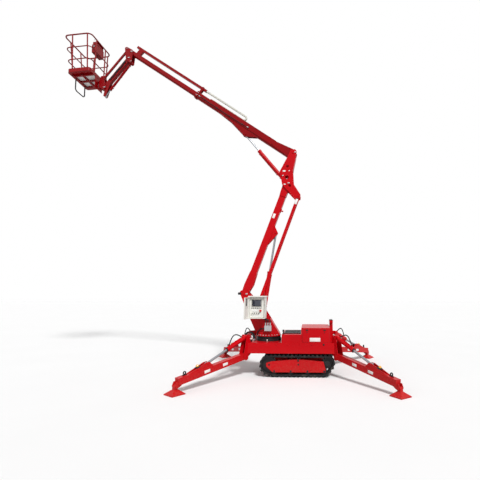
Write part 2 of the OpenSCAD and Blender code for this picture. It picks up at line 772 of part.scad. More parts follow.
// Lower boom along X from its foot
boss_half = plate_gap - face_gap;
lower_half = lower_width / 2;
cheek_t = 12;
lower_z0 = -90;
lower_z1 = lower_z0 + lower_depth;
foot_path = [
    [-75, 40], [-75, -40], [-30, -78], [60, -78], [240, -112], [520, lower_z0 - 4],
    [520, lower_z1 + 4], [200, lower_z1 + 26], [0, 78]
];
top_path = [
    [lower_len - 330, lower_z0 - 4], [lower_len - 120, lower_z0 - 4], [lower_len + 20, -82],
    [lower_len + 82, -20], [lower_len + 82, 40], [lower_len + 30, 82], [lower_len - 330, lower_z1 + 4]
];
lug_gap = 34;
lug_t = 12;
lift_lug = [
    [lift_head.x - 330, lower_z0], [lift_head.x - 60, lift_head.y - 30], [lift_head.x + 10, lift_head.y - 46],
    [lift_head.x + 50, lift_head.y - 6], [lift_head.x + 140, lower_z0]
];
module lower_boom() {
    color(red) at(boom_foot, lower_angle) difference() {
        union() {
            box_tube(300, lower_len - 78, lower_half, lower_z0, lower_z1, tube_t);
            plate_pair(lower_half, cheek_t) polygon(rounded(foot_path, 24));
            plate_pair(lower_half, cheek_t) polygon(rounded(top_path, 24));
            cross_pin([0, 0], 62, boss_half);
            cross_pin([lower_len, 0], 66, boss_half);
            plate_pair(lug_gap, lug_t) polygon(rounded(lift_lug, [0, 20, 20, 20, 0]));
            for (side = [-1, 1]) translate([lift_head.x, side * (lug_gap + lug_t + 4), lift_head.y])
                rotate([90, 0, 0]) cylinder(r = lift_pin_r, h = 2 * (lug_t / 2 + 4) - 2, center = true);
        }
        cross_pin([0, 0], tower_pin_r + run_gap, plate_gap + 1);
        cross_pin([lower_len, 0], tower_pin_r + run_gap, plate_gap + 1);
    }
}
module parallel_link() {
    link_gap = plate_gap - 5 - link_t;
    tie_xs = [lower_len - 300, lower_len - 800];
    color(red) at(link_foot, lower_angle) difference() {
        union() {
            plate_pair(link_gap, link_t)
                polygon(box_path(0, lower_len, -link_depth / 2, link_depth / 2));
            for (x = [0, lower_len]) plate_pair(link_gap - 4, link_t + 8) translate([x, 0]) circle(42);
            for (x = tie_xs) cross_pin([x, 0], 18, link_gap + 1);
        }
        for (x = [0, lower_len]) cross_pin([x, 0], link_pin_r + run_gap, plate_gap);
    }
}
lift_turn = heading(lift_base, lift_eye);
module lift_barrel() { at(lift_base, lift_turn) barrel(lift_r, lift_barrel_len, 48, 48, lift_pin_r); }
module lift_rod() {
    at(lift_base, lift_turn) rod(lift_r, norm(lift_eye - lift_base), lift_rod_len, 36, 28, lift_pin_r - 4);
}

// Knuckle: two plates with three lightening holes
knuckle_path = [
    upper_pin + [-60, 76], upper_pin + [50, 76], upper_pin + [86, 20], upper_pin + [63, -84],
    lower_pin + [152, 304], lower_pin + [170, -30], link_top + [52, 20], link_top + [46, -62],
    link_top + [-78, -60], lower_pin + [-103, -43], lower_pin + [-169, 290], upper_pin + [-123, -81]
];
knuckle_round = [40, 40, 40, 60, 120, 120, 30, 24, 24, 60, 40, 60];
knuckle_holes = [[19, 422, 32], [5, 145, 45], [75, -63, 32]];
module knuckle() {
    color(red) {
        plate_pair(plate_gap, plate_t) difference() {
            polygon(rounded(knuckle_path, knuckle_round));
            for (h = knuckle_holes) translate(lower_pin + [h.x, h.y]) circle(h.z);
        }
        tower_web(upper_pin + [54, -110], lower_pin + [144, 320]);
        tower_web(lower_pin + [142, 290], lower_pin + [154, 10]);
        cross_pin(lower_pin, tower_pin_r, plate_gap + plate_t + 10);
        cross_pin(upper_pin, tower_pin_r, plate_gap + plate_t + 10);
        cross_pin(link_top, link_pin_r, plate_gap + plate_t + 8);
        cross_pin(upper_foot, lift_pin_r, plate_gap + plate_t + 8);
    }
}
upper_turn = heading(upper_foot, upper_eye);
module upper_barrel() { at(upper_foot, upper_turn) barrel(upper_r, upper_barrel_len, 45, 45, lift_pin_r); }
module upper_rod() {
    at(upper_foot, upper_turn) rod(upper_r, norm(upper_eye - upper_foot), upper_rod_len, 34, 26, lift_pin_r - 4);
}

// Upper boom: X along the boom, Z down from the pivot line
outer_half = outer_width / 2;
outer_n1 = outer_n0 + outer_depth;
collar_len = 50;
tray_t = 6;
tray_s = [540, 2600];
tray_wall = 4;
tray_gap = 3;
guide_gap = 0.5;
guide_t = 10;
cheek_path = [
    [-30, -72], [60, -72], [560, outer_n0 - 4], [600, outer_mid], [520, outer_n1 - outer_bend],
    [60, outer_n1 - 10], [-40, 110], [-76, 30], [-76, -30]
];
lug_root = outer_n1 - outer_bend / 2;
upper_lug = [
    [upper_head.x - 320, lug_root], [upper_head.x - 60, upper_head.y + 36], [upper_head.x + 20, upper_head.y + 50],
    [upper_head.x + 70, upper_head.y + 30], [1780, outer_n1 + 30], [2350, lug_root]
];
module upper_boom() {
    color(red) at(upper_pin, upper_heading) difference() {
        union() {
            bent_tube(60, outer_len, outer_half, outer_n0, outer_n1, outer_bend, tube_t);
            bent_tube(outer_len - collar_len, outer_len + 8, outer_half + 14, outer_n0 - 14, outer_n1 + 14,
                outer_bend, 14 + tube_t);
            plate_pair(outer_half, cheek_t) polygon(rounded(cheek_path, 28));
            cross_pin([0, 0], 62, boss_half);
            plate_pair(lug_gap, lug_t) polygon(rounded(upper_lug, [0, 20, 20, 20, 60, 0]));
            for (side = [-1, 1]) translate([upper_head.x, side * (lug_gap + lug_t + 4), upper_head.y])
                rotate([90, 0, 0]) cylinder(r = lift_pin_r, h = 2 * (lug_t / 2 + 4) - 2, center = true);
            tray();
            bar_guide();
        }
        cross_pin([0, 0], tower_pin_r + run_gap, plate_gap + 1);
    }
}
module tray() {
    half = chain_w / 2 + tray_gap;
    along_x(tray_s[0], tray_s[1]) difference() {
        polygon(box_path(-half - tray_wall, half + tray_wall, -chain_t / 2 - tray_t, outer_n0 + 1));
        polygon(box_path(-half, half, -chain_t, outer_n0 - tray_t));
    }
}
guide_half = bar_size / 2 + guide_gap;
module bar_guide() {
    along_x(outer_len - collar_len, outer_len) difference() {
        polygon(box_path(-guide_half - guide_t, guide_half + guide_t,
            -bar_height - guide_half - guide_t, outer_n0 - 10));
        polygon(box_path(-guide_half, guide_half, -bar_height - guide_half, -bar_height + guide_half));
        polygon(box_path(-guide_half, guide_half, -bar_height + guide_half + guide_t, outer_n0 - 24));
    }
}

// Cable chain: lower run in the tray, bend, upper run into the guide bar
lower_run_n = outer_n0 - tray_t - seat_gap;
upper_run_n = -bar_height - chain_t / 2;
bend_out = (lower_run_n - upper_run_n) / 2;
bend_in = bend_out - chain_t;
bend_s = chain_s0 + bend_out;
bend_n = lower_run_n - bend_out;
run_in_bar = 40;
link_pitch = 56;
notch = [10, 7];
module chain_run(s0, s1, n0) {
    count = floor((s1 - s0) / link_pitch);
    difference() {
        along_x(s0, s1) polygon(box_path(-chain_w / 2, chain_w / 2, n0, n0 + chain_t));
        for (i = [1:count]) translate([s0 + i * link_pitch - notch[0] / 2, -chain_w / 2 - 1, n0 - 1])
            cube([notch[0], chain_w + 2, notch[1] + 1]);
    }
}
module cable_chain() {
    color(cream) at(upper_pin, upper_heading) {
        chain_run(bend_s - 1, tray_s[1] - 40, lower_run_n - chain_t);
        chain_run(bend_s - 1, bar_s0 + run_in_bar, upper_run_n);
        translate([bend_s, 0, bend_n]) plate(-chain_w / 2, chain_w / 2) difference() {
            circle(bend_out);
            circle(bend_in);
            translate([0, -bend_out - 1]) square(2 * bend_out + 2);
        }
    }
}

// Inner boom with its nose pivot
inner_half = inner_width / 2;
inner_n0 = outer_mid - inner_depth / 2;
inner_n1 = outer_mid + inner_depth / 2;
inner_bend = 28;
nose_r = 55;
nose_half = head_gap - face_gap;
tip_pin_r = 25;
module inner_boom() {
    pad_s = [inner_s0 + 20, inner_s0 + 140];
    color(red) at(upper_pin, upper_heading) difference() {
        union() {
            bent_tube(inner_s0, tip_s - 25, inner_half, inner_n0, inner_n1, inner_bend, 5);
            cross_pin([tip_s, outer_mid], nose_r, nose_half);
            wear_pads(pad_s);
        }
        cross_pin([tip_s, outer_mid], tip_pin_r + run_gap, nose_half + 1);
    }
}
sole_half = outer_half - outer_bend - 5;
module wear_pads(s) {
    half_w = outer_half - tube_t - seat_gap;
    along_x(s[0], s[1]) {
        for (side = [-1, 1])
            polygon(box_path(side > 0 ? inner_half - 1 : -half_w, side > 0 ? half_w : -inner_half + 1,
                inner_n0 + 20, inner_n1 - 50));
        polygon(box_path(-sole_half, sole_half, inner_n1 - 1, outer_n1 - tube_t - seat_gap));
        polygon(box_path(-30, 30, outer_n0 + tube_t + seat_gap, inner_n0 + 1));
    }
}
module guide_bar() {
    post_s = [tip_s - 250, tip_s - 120];
    color(red) at(upper_pin, upper_heading) {
        along_x(bar_s0, tip_s - 20) difference() {
            polygon(box_path(-bar_size / 2, bar_size / 2, -bar_height - bar_size / 2, -bar_height + bar_size / 2));
            polygon(box_path(-bar_size / 2 + bar_wall, bar_size / 2 - bar_wall,
                -bar_height - bar_size / 2 + bar_wall, -bar_height + bar_size / 2 - bar_wall));
        }
        along_x(post_s[0], post_s[1])
            polygon(box_path(-bar_size / 2, bar_size / 2, -bar_height + bar_size / 2 - bar_wall, inner_n0));
    }
}

// Jib head: two plates that carry the jib pins
head_t = 12;
jlink_pin_r = 16;
jib_pin_r = 16;
module head_plate() {
    hull() {
        translate(tip_pin) circle(62);
        translate(jlink_top) circle(44);
        translate(arm_top) circle(58);
        translate(jib_foot) circle(40);
    }
}
module jib_head() {
    pin_half = head_gap + head_t + 6;
    color(red) {
        plate_pair(head_gap, head_t) head_plate($fn = 32);
        cross_pin(tip_pin, tip_pin_r, pin_half);
        cross_pin(arm_top, tip_pin_r, pin_half);
        cross_pin(jlink_top, jlink_pin_r, pin_half);
        cross_pin(jib_foot, jib_pin_r, pin_half);
    }
}
jib_lug_gap = jib_r[0] + 10.5;
jib_lug_t = 10;
module jib_lug() {
    hull() {
        translate([jib_len - 35, arm_depth_half - 10]) circle(12);
        translate(jib_head_pin) circle(34);
        translate([jib_len - 220, arm_depth_half - 12]) circle(10);
    }
}
module jib_arm() {
    color(red) at(arm_top, jib_heading) difference() {
        union() {
            box_tube(20, jib_len - 20, arm_half, -arm_depth_half, arm_depth_half, 5);
            cross_pin([0, 0], 52, nose_half);
            cross_pin([jib_len, 0], 52, nose_half);
            plate_pair(jib_lug_gap, jib_lug_t) jib_lug($fn = 32);
            for (side = [-1, 1])
                translate([jib_head_pin.x, side * (jib_lug_gap + jib_lug_t), jib_head_pin.y])
                    rotate([90, 0, 0]) cylinder(r = jib_pin_r, h = jib_lug_t, center = true);
        }
        for (x = [0, jib_len]) cross_pin([x, 0], tip_pin_r + run_gap, nose_half + 1);
    }
}
module jib_link() {
    color(red) at(jlink_top, jib_heading) difference() {
        union() {
            along_x(0, jib_len) polygon(box_path(-20, 20, -22, 22));
            for (x = [0, jib_len]) cross_pin([x, 0], 32, nose_half);
        }
        for (x = [0, jib_len]) cross_pin([x, 0], jlink_pin_r + run_gap, nose_half + 1);
    }
}
jib_turn = heading(jib_foot, jib_eye);
module jib_barrel() { at(jib_foot, jib_turn) barrel(jib_r, jib_barrel_len, 30, 28, jib_pin_r); }
module jib_rod() {
    at(jib_foot, jib_turn) rod(jib_r, norm(jib_eye - jib_foot), jib_rod_len, 28, jib_lug_gap - 2.5, jib_pin_r - 3);
}

// Basket frame: origin at the low jib arm pin, leaning with the basket
module basket_frame() {
    at(arm_low, basket_tilt) children();
}
mount_pin = turned(jib_offset, -basket_tilt);
turn_z0 = 0;
turn_z1 = 190;
turn_r = 42;
turn_pin_r = 22;
module mount_plate() {
    hull() {
        circle(58);
        translate(mount_pin) circle(44);
        translate([turn_x + 22, turn_z0 + 20]) circle(20);
        translate([turn_x + 22, turn_z1 - 20]) circle(20);
    }
}
module basket_mount() {
    pin_half = head_gap + head_t + 6;
    color(red) basket_frame() difference() {
        union() {
            plate_pair(head_gap, head_t) mount_plate($fn = 32);
            cross_pin([0, 0], tip_pin_r, pin_half);
            cross_pin(mount_pin, jlink_pin_r, pin_half);
            translate([turn_x, 0, turn_z0]) cylinder(r = turn_r, h = turn_z1 - turn_z0);
            translate([turn_x - 8, -head_gap - 1, turn_z0 + 20]) cube([24, 2 * head_gap + 2, turn_z1 - turn_z0 - 40]);
        }
        translate([turn_x, 0, turn_z0 - 1]) cylinder(r = turn_pin_r + run_gap, h = turn_z1 - turn_z0 + 2);
    }
}

// Basket: floor pan with toe boards, frame below and the bracket to the rotator
toe_t = 4;
pan_t = 6;
frame_h = 40;
ear_t = 24;
bearer_wall = 4;
bearer_ys = [-250, 0, 250];
module floor_bearers(wall) {
    side = frame_h - 2 * wall;
    z = floor_z - frame_h + wall;
    rise = wall > 0 ? side : side + 1;
    over = wall > 0 ? 1 : 0;
    for (y = bearer_ys)
        translate([floor_x0 + 40 - over, y - side / 2, z]) cube([floor_x1 - floor_x0 - 44 + 2 * over, side, rise]);
    for (x = [floor_x0 + 60, (floor_x0 + floor_x1) / 2] + [wall, wall])
        translate([x, -300 - over, z]) cube([side, 600 + 2 * over, rise]);
}
module basket_floor() {
    color(red) basket_frame() {
        translate([0, 0, floor_z]) linear_extrude(pan_t)
            polygon(rounded(box_path(floor_x0, floor_x1, -floor_half, floor_half), 60));
        translate([0, 0, floor_z]) linear_extrude(toe_h) difference() {
            polygon(rounded(box_path(floor_x0, floor_x1, -floor_half, floor_half), 60));
            polygon(rounded(box_path(floor_x0 + toe_t, floor_x1 - toe_t,
                -floor_half + toe_t, floor_half - toe_t), 60 - toe_t));
        }
        difference() {
            floor_bearers(0);
            floor_bearers(bearer_wall);
        }
        basket_bracket();
    }
}
module basket_bracket() {
    back = floor_x1 - 14;
    difference() {
        union() {
            translate([back, -150, turn_z0 - ear_t - seat_gap]) cube([12, 300, floor_z + toe_h - turn_z0]);
            for (z = [turn_z0 - ear_t - seat_gap, turn_z1 + seat_gap]) hull() {
                translate([turn_x, 0, z]) cylinder(r = turn_r, h = ear_t, $fn = 32);
                translate([back, -30, z]) cube([10, 60, ear_t]);
            }
        }
    }
    translate([turn_x, 0, turn_z0 - ear_t - 6]) cylinder(r = turn_pin_r, h = turn_z1 - turn_z0 + 2 * ear_t + 12);
}

// Rails: bent tube loops on posts
rail_bend = 110;
module loop_tube(x0, x1, half, bend, r) {
    for (y = [-half, half]) translate([x0 + bend, y, 0]) rotate([0, 90, 0]) cylinder(r = r, h = x1 - x0 - 2 * bend);
    for (x = [x0, x1]) translate([x, -half + bend, 0]) rotate([-90, 0, 0]) cylinder(r = r, h = 2 * half - 2 * bend);
    for (c = [[x1 - bend, half - bend, 0], [x0 + bend, half - bend, 90],
              [x0 + bend, -half + bend, 180], [x1 - bend, -half + bend, 270]])
        translate([c.x, c.y, 0]) rotate([0, 0, c.z]) rotate_extrude(angle = 90) translate([bend, 0]) circle(r);
}
post_xs = [floor_x0 + 126, floor_x1 - 60];
mid_rails = [640, 985];
module basket_post(x, y, top_x, top_y, r) {
    foot = [x, y, floor_z + toe_h - 3];
    head = [top_x, top_y, rail_top];
    run = head - foot;
    translate(foot) rotate([0, acos(run.z / norm(run)), atan2(run.y, run.x)]) cylinder(r = r, h = norm(run));
}
function rail_share(z) = (z - floor_z - toe_h) / (rail_top - floor_z - toe_h);
function between(a, b, t) = a + (b - a) * t;
rail_wall = 3;
module rail_set(wall) {
    inset = toe_t / 2;
    r = rail_r - wall;
    translate([0, 0, rail_top]) loop_tube(rail_x0, rail_x1, rail_half, rail_bend, r);
    for (z = mid_rails) translate([0, 0, z])
        loop_tube(
            between(floor_x0 + inset, rail_x0, rail_share(z)), between(floor_x1 - inset, rail_x1, rail_share(z)),
            between(floor_half - inset, rail_half, rail_share(z)), rail_bend, r - 4
        );
    for (side = [-1, 1]) {
        for (x = post_xs) basket_post(x, side * (floor_half - inset), x, side * rail_half, r - 2);
        basket_post(floor_x0 + inset, side * 200, rail_x0, side * 200, r - 2);
        basket_post(floor_x1 - inset, side * 200, rail_x1, side * 200, r - 2);
    }
}
module basket_rails() {
    foot_z = floor_z + toe_h + seat_gap;
    color(red) basket_frame() difference() {
        rail_set(0);
        rail_set(rail_wall);
        translate([rail_x0, -rail_half, foot_z - 20]) cube([rail_x1 - rail_x0, 2 * rail_half, 20]);
    }
}
console_wall = 4;
module basket_console() {
    box_x = rail_x1 - rail_r - seat_gap - 130;
    color(red) basket_frame() translate([box_x, -160, rail_top - 330]) difference() {
        cube([126, 320, 240]);
        translate([1, 1, 1] * console_wall) cube([126, 320, 240] - 2 * [1, 1, 1] * console_wall);
        translate([63, 160, -1]) cylinder(r = 20, h = 10);
    }
    color(dark) basket_frame() {
        translate([box_x + 6, -130, rail_top - 90]) cube([124, 260, 100]);
        for (i = [-1, 0, 1]) translate([box_x + 60, i * 80, rail_top + 9]) cylinder(r = 8, h = 60);
    }
}
step_r = 14;
step_drop = 330;
step_bend = 70;
step_half = 180;
module basket_step() {
    x = floor_x0 + 80;
    top = floor_z - frame_h;
    low = top - step_drop;
    color(dark) basket_frame() translate([x, 0, 0]) {
        for (side = [-1, 1]) translate([0, side * step_half, low + step_bend]) cylinder(r = step_r, h = step_drop - step_bend);
        translate([0, -step_half + step_bend, low]) rotate([-90, 0, 0]) cylinder(r = step_r, h = 2 * (step_half - step_bend));
        for (side = [-1, 1]) translate([0, side * (step_half - step_bend), low + step_bend])
            rotate([0, 90, 0]) rotate([0, 0, side > 0 ? 0 : -90])
                rotate_extrude(angle = 90) translate([step_bend, 0]) circle(step_r);
    }
}

// Outriggers
beam_half = beam_w / 2;
leg_boss_half = bracket_gap - face_gap;
pad_pin_r = 20;
clevis_gap = 34;
clevis_t = 12;
beam_end = leg_reach - 30;
module leg_beam() {
    lug_foot_at = turned(leg_head - [0, hinge_at.z], leg_slope);
    slope_len = beam_end / cos(leg_slope);
    color(red) translate([0, 0, hinge_at.z]) difference() {
        union() {
            rotate([0, leg_slope, 0]) {
                box_tube(0, slope_len, beam_half, -beam_half, beam_half, tube_t);
                cross_pin([0, 0], beam_half + 1, leg_boss_half);
                plate_pair(lug_gap, lug_t) polygon(rounded([
                    [lug_foot_at.x - 120, beam_half - 1], [lug_foot_at.x - 40, lug_foot_at.y + 30],
                    [lug_foot_at.x + 30, lug_foot_at.y + 34], [lug_foot_at.x + 420, beam_half - 1]
                ], [0, 16, 16, 0]));
                for (side = [-1, 1]) translate([lug_foot_at.x, side * (lug_gap + lug_t), lug_foot_at.y])
                    rotate([90, 0, 0]) cylinder(r = leg_pin_r, h = lug_t, center = true);
                translate([slope_len - 8, -beam_half, -beam_half]) cube([8, 2 * beam_half, 2 * beam_half]);
            }
            plate_pair(clevis_gap, clevis_t) polygon(rounded([
                [leg_reach - 190, -hinge_at.z + 200], [leg_reach - 60, -hinge_at.z + pad_pivot - 10],
                [leg_reach + 10, -hinge_at.z + pad_pivot - 34], [leg_reach + 36, -hinge_at.z + pad_pivot + 10],
                [leg_reach + 10, -hinge_at.z + 200]
            ], [10, 20, 20, 20, 20]));
            cross_pin([leg_reach, pad_pivot - hinge_at.z], pad_pin_r, clevis_gap + clevis_t + 6);
        }
        cross_pin([0, 0], hinge_pin_r + run_gap, bracket_gap + 1);
    }
}
pad_base = 14;
module leg_pad() {
    color(red) translate([leg_reach, 0, 0]) difference() {
        union() {
            hull() {
                translate([-pad_side / 2, -pad_side / 2, 0]) cube([pad_side, pad_side, pad_base]);
                translate([-40, -clevis_gap + 2, 0]) cube([80, 2 * clevis_gap - 4, 80]);
            }
            cross_pin([0, pad_pivot], 32, clevis_gap - face_gap);
            translate([-32, -clevis_gap + face_gap, 60]) cube([64, 2 * clevis_gap - 2 * face_gap, pad_pivot - 60]);
        }
        cross_pin([0, pad_pivot], pad_pin_r + run_gap, clevis_gap + 1);
    }
}
leg_turn_down = heading(leg_base, leg_head);
module leg_barrel() { at(leg_base, leg_turn_down) barrel(leg_r, leg_barrel_len, 40, 42, leg_pin_r); }
module leg_rod() {
    at(leg_base, leg_turn_down) rod(leg_r, norm(leg_head - leg_base), leg_rod_len, 28, 28, leg_pin_r - 4);
}

// The whole machine moved so that the origin is under its middle
module framed() { translate([frame_x, 0, 0]) children(); }

framed() chassis_frame();
framed() track_left();
framed() track_right();
framed() track_frame_left();
framed() track_frame_right();
framed() running_gear();
framed() engine_hood();
framed() hood_grille();
framed() engine_block();
framed() engine_top();
framed() boom_rest();
framed() slew_base();
framed() turret_tower();
framed() control_cabinet();
framed() control_panel();
framed() valve_block();
framed() cabinet_door();
framed() lower_boom();
framed() parallel_link();
framed() lift_barrel();
framed() lift_rod();
framed() knuckle();
framed() upper_barrel();
framed() upper_rod();
framed() upper_boom();
framed() cable_chain();
framed() inner_boom();
framed() guide_bar();
framed() jib_head();
framed() jib_arm();
framed() jib_link();
framed() jib_barrel();
framed() jib_rod();
framed() basket_mount();
framed() basket_floor();
framed() basket_rails();
framed() basket_console();
framed() basket_step();
framed() corner(1, 1) leg_beam();  // outrigger_fl
framed() corner(1, -1) leg_beam();  // outrigger_fr
framed() corner(-1, 1) leg_beam();  // outrigger_rl
framed() corner(-1, -1) leg_beam();  // outrigger_rr
framed() corner(1, 1) leg_barrel();  // leg_barrel_fl
framed() corner(1, -1) leg_barrel();  // leg_barrel_fr
framed() corner(-1, 1) leg_barrel();  // leg_barrel_rl
framed() corner(-1, -1) leg_barrel();  // leg_barrel_rr
framed() corner(1, 1) leg_rod();  // leg_rod_fl
framed() corner(1, -1) leg_rod();  // leg_rod_fr
framed() corner(-1, 1) leg_rod();  // leg_rod_rl
framed() corner(-1, -1) leg_rod();  // leg_rod_rr
framed() corner(1, 1) leg_pad();  // pad_fl
framed() corner(1, -1) leg_pad();  // pad_fr
framed() corner(-1, 1) leg_pad();  // pad_rl
framed() corner(-1, -1) leg_pad();  // pad_rr
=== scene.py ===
"""Looks of an articulating boom lift on rubber tracks: finishes, fittings, labels, light and camera."""

import json
import math
from collections import defaultdict
from contextlib import contextmanager

import bmesh
import bpy
from bpy.props import FloatProperty, FloatVectorProperty, PointerProperty
from mathutils import Matrix, Vector


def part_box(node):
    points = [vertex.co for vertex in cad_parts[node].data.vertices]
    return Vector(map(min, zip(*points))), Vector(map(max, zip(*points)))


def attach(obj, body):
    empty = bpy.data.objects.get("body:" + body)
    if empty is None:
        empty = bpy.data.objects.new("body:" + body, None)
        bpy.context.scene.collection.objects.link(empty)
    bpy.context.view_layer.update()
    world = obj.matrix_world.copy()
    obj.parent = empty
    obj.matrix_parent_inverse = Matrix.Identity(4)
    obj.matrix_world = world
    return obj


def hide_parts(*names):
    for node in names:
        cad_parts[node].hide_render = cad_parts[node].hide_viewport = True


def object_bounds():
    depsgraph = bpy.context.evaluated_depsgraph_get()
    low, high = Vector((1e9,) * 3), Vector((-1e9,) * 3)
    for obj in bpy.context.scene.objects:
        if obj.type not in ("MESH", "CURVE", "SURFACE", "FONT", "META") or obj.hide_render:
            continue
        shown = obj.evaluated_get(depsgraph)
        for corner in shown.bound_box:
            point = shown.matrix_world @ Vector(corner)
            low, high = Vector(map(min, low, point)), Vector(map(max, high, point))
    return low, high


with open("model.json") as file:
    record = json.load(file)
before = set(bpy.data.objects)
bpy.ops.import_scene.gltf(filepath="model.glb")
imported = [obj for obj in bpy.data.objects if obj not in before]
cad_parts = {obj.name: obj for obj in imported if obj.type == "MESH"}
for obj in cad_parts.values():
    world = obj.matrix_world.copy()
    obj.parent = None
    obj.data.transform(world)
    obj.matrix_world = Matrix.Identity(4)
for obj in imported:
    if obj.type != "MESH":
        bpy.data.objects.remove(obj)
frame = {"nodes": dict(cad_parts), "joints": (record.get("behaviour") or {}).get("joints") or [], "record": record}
CAD_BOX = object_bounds()

bl_info = {
    "name": "Boom Lift Looks",
    "version": (1, 0, 0),
    "blender": (4, 5, 0),
    "location": "View3D > Sidebar > Boom Lift",
    "description": "Finishes, fittings, labels and stage for a tracked boom lift",
    "category": "Object",
}

RECORD = frame["record"]
NODES = frame["nodes"]
JOINTS = {joint["name"]: joint for joint in frame["joints"]}
SLOT_OF = {part["node"]: part["material_slot"] for part in RECORD["subparts"]}
CORNERS = ("fl", "fr", "rl", "rr")
ACROSS = Vector((0, 1, 0))
UP = Vector((0, 0, 1))


def colour_property(label, text, default):
    return FloatVectorProperty(
        name=label, description=text, default=default, size=3, min=0, max=1, subtype="COLOR",
    )


def length_property(label, text, default):
    return FloatProperty(name=label, description=text, default=default, min=0.0005, unit="LENGTH")


class LiftColours(bpy.types.PropertyGroup):
    """Colours that a user would change"""

    red: colour_property("Red paint", "Paint of the booms, chassis and basket", (0.52, 0.0009, 0.0053))
    cream: colour_property("Cream paint", "Paint of the control cabinet", (0.80, 0.79, 0.74))
    black: colour_property("Black paint", "Slewing ring and running gear", (0.010, 0.010, 0.011))
    rubber: colour_property("Track rubber", "Rubber of the tracks", (0.011, 0.011, 0.012))
    chain: colour_property("Cable chain", "Plastic of the cable chain", (0.66, 0.64, 0.56))
    label: colour_property("Labels", "Blank labels and plates", (0.86, 0.86, 0.84))
    amber: colour_property("Lamps", "Lenses of the warning lamps", (0.95, 0.42, 0.02))
    floor: colour_property("Floor", "Plain floor under the machine", (0.93, 0.93, 0.93))


class LiftSizes(bpy.types.PropertyGroup):
    """Sizes of the fittings"""

    bolt: length_property("Bolt", "Across-corner radius of the common bolt heads", 0.011)
    keeper: length_property("Pin keeper", "Thickness of the keeper plates on the pivot pins", 0.008)
    hose: length_property("Hose", "Radius of the hydraulic hoses", 0.009)
    edge: length_property("Edge", "Bevel on the edges of fittings", 0.0015)


def colours():
    return bpy.context.scene.lift_colours


def sizes():
    return bpy.context.scene.lift_sizes


class Board:
    """A material's node tree, with short calls to add and join its nodes."""

    def __init__(self, name):
        self.material = bpy.data.materials.new(name)
        self.material.use_nodes = True
        self.tree = self.material.node_tree
        self.shader = self.tree.nodes["Principled BSDF"]
        self.place = self.node("ShaderNodeTexCoord").outputs["Object"]

    def node(self, kind, inputs=None, **settings):
        made = self.tree.nodes.new(kind)
        for name, value in settings.items():
            setattr(made, name, value)
        for name, value in (inputs or {}).items():
            self.feed(made.inputs[name], value)
        return made

    def feed(self, socket, value):
        if isinstance(value, bpy.types.NodeSocket):
            self.tree.links.new(value, socket)
        else:
            socket.default_value = value

    def noise(self, scale, detail=3.0):
        inputs = {"Vector": self.place, "Scale": scale, "Detail": detail}
        return self.node("ShaderNodeTexNoise", inputs).outputs["Fac"]

    def maths(self, operation, first, second):
        made = self.node("ShaderNodeMath", {0: first, 1: second}, operation=operation)
        return made.outputs["Value"]

    def span(self, value, low, high, out_low=0.0, out_high=1.0):
        made = self.node("ShaderNodeMapRange", {
            "Value": value, "From Min": low, "From Max": high, "To Min": out_low, "To Max": out_high,
        })
        return made.outputs["Result"]

    def mix(self, share, first, second):
        made = self.node("ShaderNodeMix", {"Factor": share}, data_type="RGBA")
        for socket, colour in ((made.inputs[6], first), (made.inputs[7], second)):
            self.feed(socket, colour if isinstance(colour, bpy.types.NodeSocket) else (*colour, 1.0))
        return made.outputs[2]

    def mottled(self, noise, low, high, colour, dark, pale):
        """A colour between two shades of it, by a noise."""
        return self.mix(self.span(noise, low, high), shade(colour, dark), shade(colour, pale))

    def axis(self, name):
        return self.node("ShaderNodeSeparateXYZ", {"Vector": self.place}).outputs[name]

    def inside(self, low, high):
        """1 inside an upright box of the piece's own coordinates, 0 outside."""
        share = None
        for name, a, b in zip("XYZ", low, high):
            value = self.axis(name)
            above = self.maths("GREATER_THAN", value, a)
            here = self.maths("MULTIPLY", above, self.maths("LESS_THAN", value, b))
            share = here if share is None else self.maths("MULTIPLY", share, here)
        return share

    def soft_edges(self, radius):
        return self.node("ShaderNodeBevel", {"Radius": radius}, samples=4).outputs["Normal"]

    def worn_and_highlit_edges(self, radius):
        """1 along edges, 0 on flat stretches, from the rounded normal against the true one. The paints make these
        edges paler: partly edge wear, partly painted highlight.
        """
        flat = self.node("ShaderNodeNewGeometry").outputs["Normal"]
        inputs = {0: self.soft_edges(radius), 1: flat}
        made = self.node("ShaderNodeVectorMath", inputs, operation="DOT_PRODUCT")
        return self.span(made.outputs["Value"], 0.995, 0.80)

    def relief(self, height, strength, distance, edge=None):
        inputs = {"Strength": strength, "Distance": distance, "Height": height}
        made = self.node("ShaderNodeBump", inputs)
        if edge:
            self.feed(made.inputs["Normal"], self.soft_edges(edge))
        self.feed(self.shader.inputs["Normal"], made.outputs["Normal"])

    def set(self, **values):
        for name, value in values.items():
            self.feed(self.shader.inputs[name.replace("_", " ")], value)


def shade(colour, factor):
    return tuple(min(1.0, channel * factor) for channel in colour)


DUST = (0.36, 0.30, 0.22)


def gloss_paint(name, colour, black_zones=()):
    """Sprayed paint with orange peel, light dust near the ground and paler rubbed edges, partly wear and partly
    painted highlight.
    """
    board = Board(name)
    cloud = board.noise(1.7, 4.0)
    speck = board.noise(38.0, 5.0)
    tone = board.mottled(cloud, 0.3, 0.7, colour, 0.90, 1.08)
    for zone in black_zones:
        tone = board.mix(board.inside(*zone), tone, colours().black)
    low = board.span(board.axis("Z"), 0.55, 0.0)
    dusty = board.maths("MULTIPLY", low, board.span(speck, 0.35, 0.8, 0.0, 0.18))
    tone = board.mix(dusty, tone, DUST)
    # Paler red on the edges, in patches by a noise: partly rubbed wear, partly painted highlight
    rub_and_highlight = board.maths("MULTIPLY", board.worn_and_highlit_edges(0.004), board.span(speck, 0.45, 0.7, 0.0, 0.30))
    tone = board.mix(rub_and_highlight, tone, shade(colour, 1.5))
    board.set(Base_Color=tone, Roughness=board.span(speck, 0.2, 0.8, 0.27, 0.40))
    board.set(Specular_IOR_Level=0.12, Coat_Weight=0.03, Coat_Roughness=0.10)
    board.relief(board.noise(260.0, 2.0), 0.05, 0.002, 0.004)
    return board.material


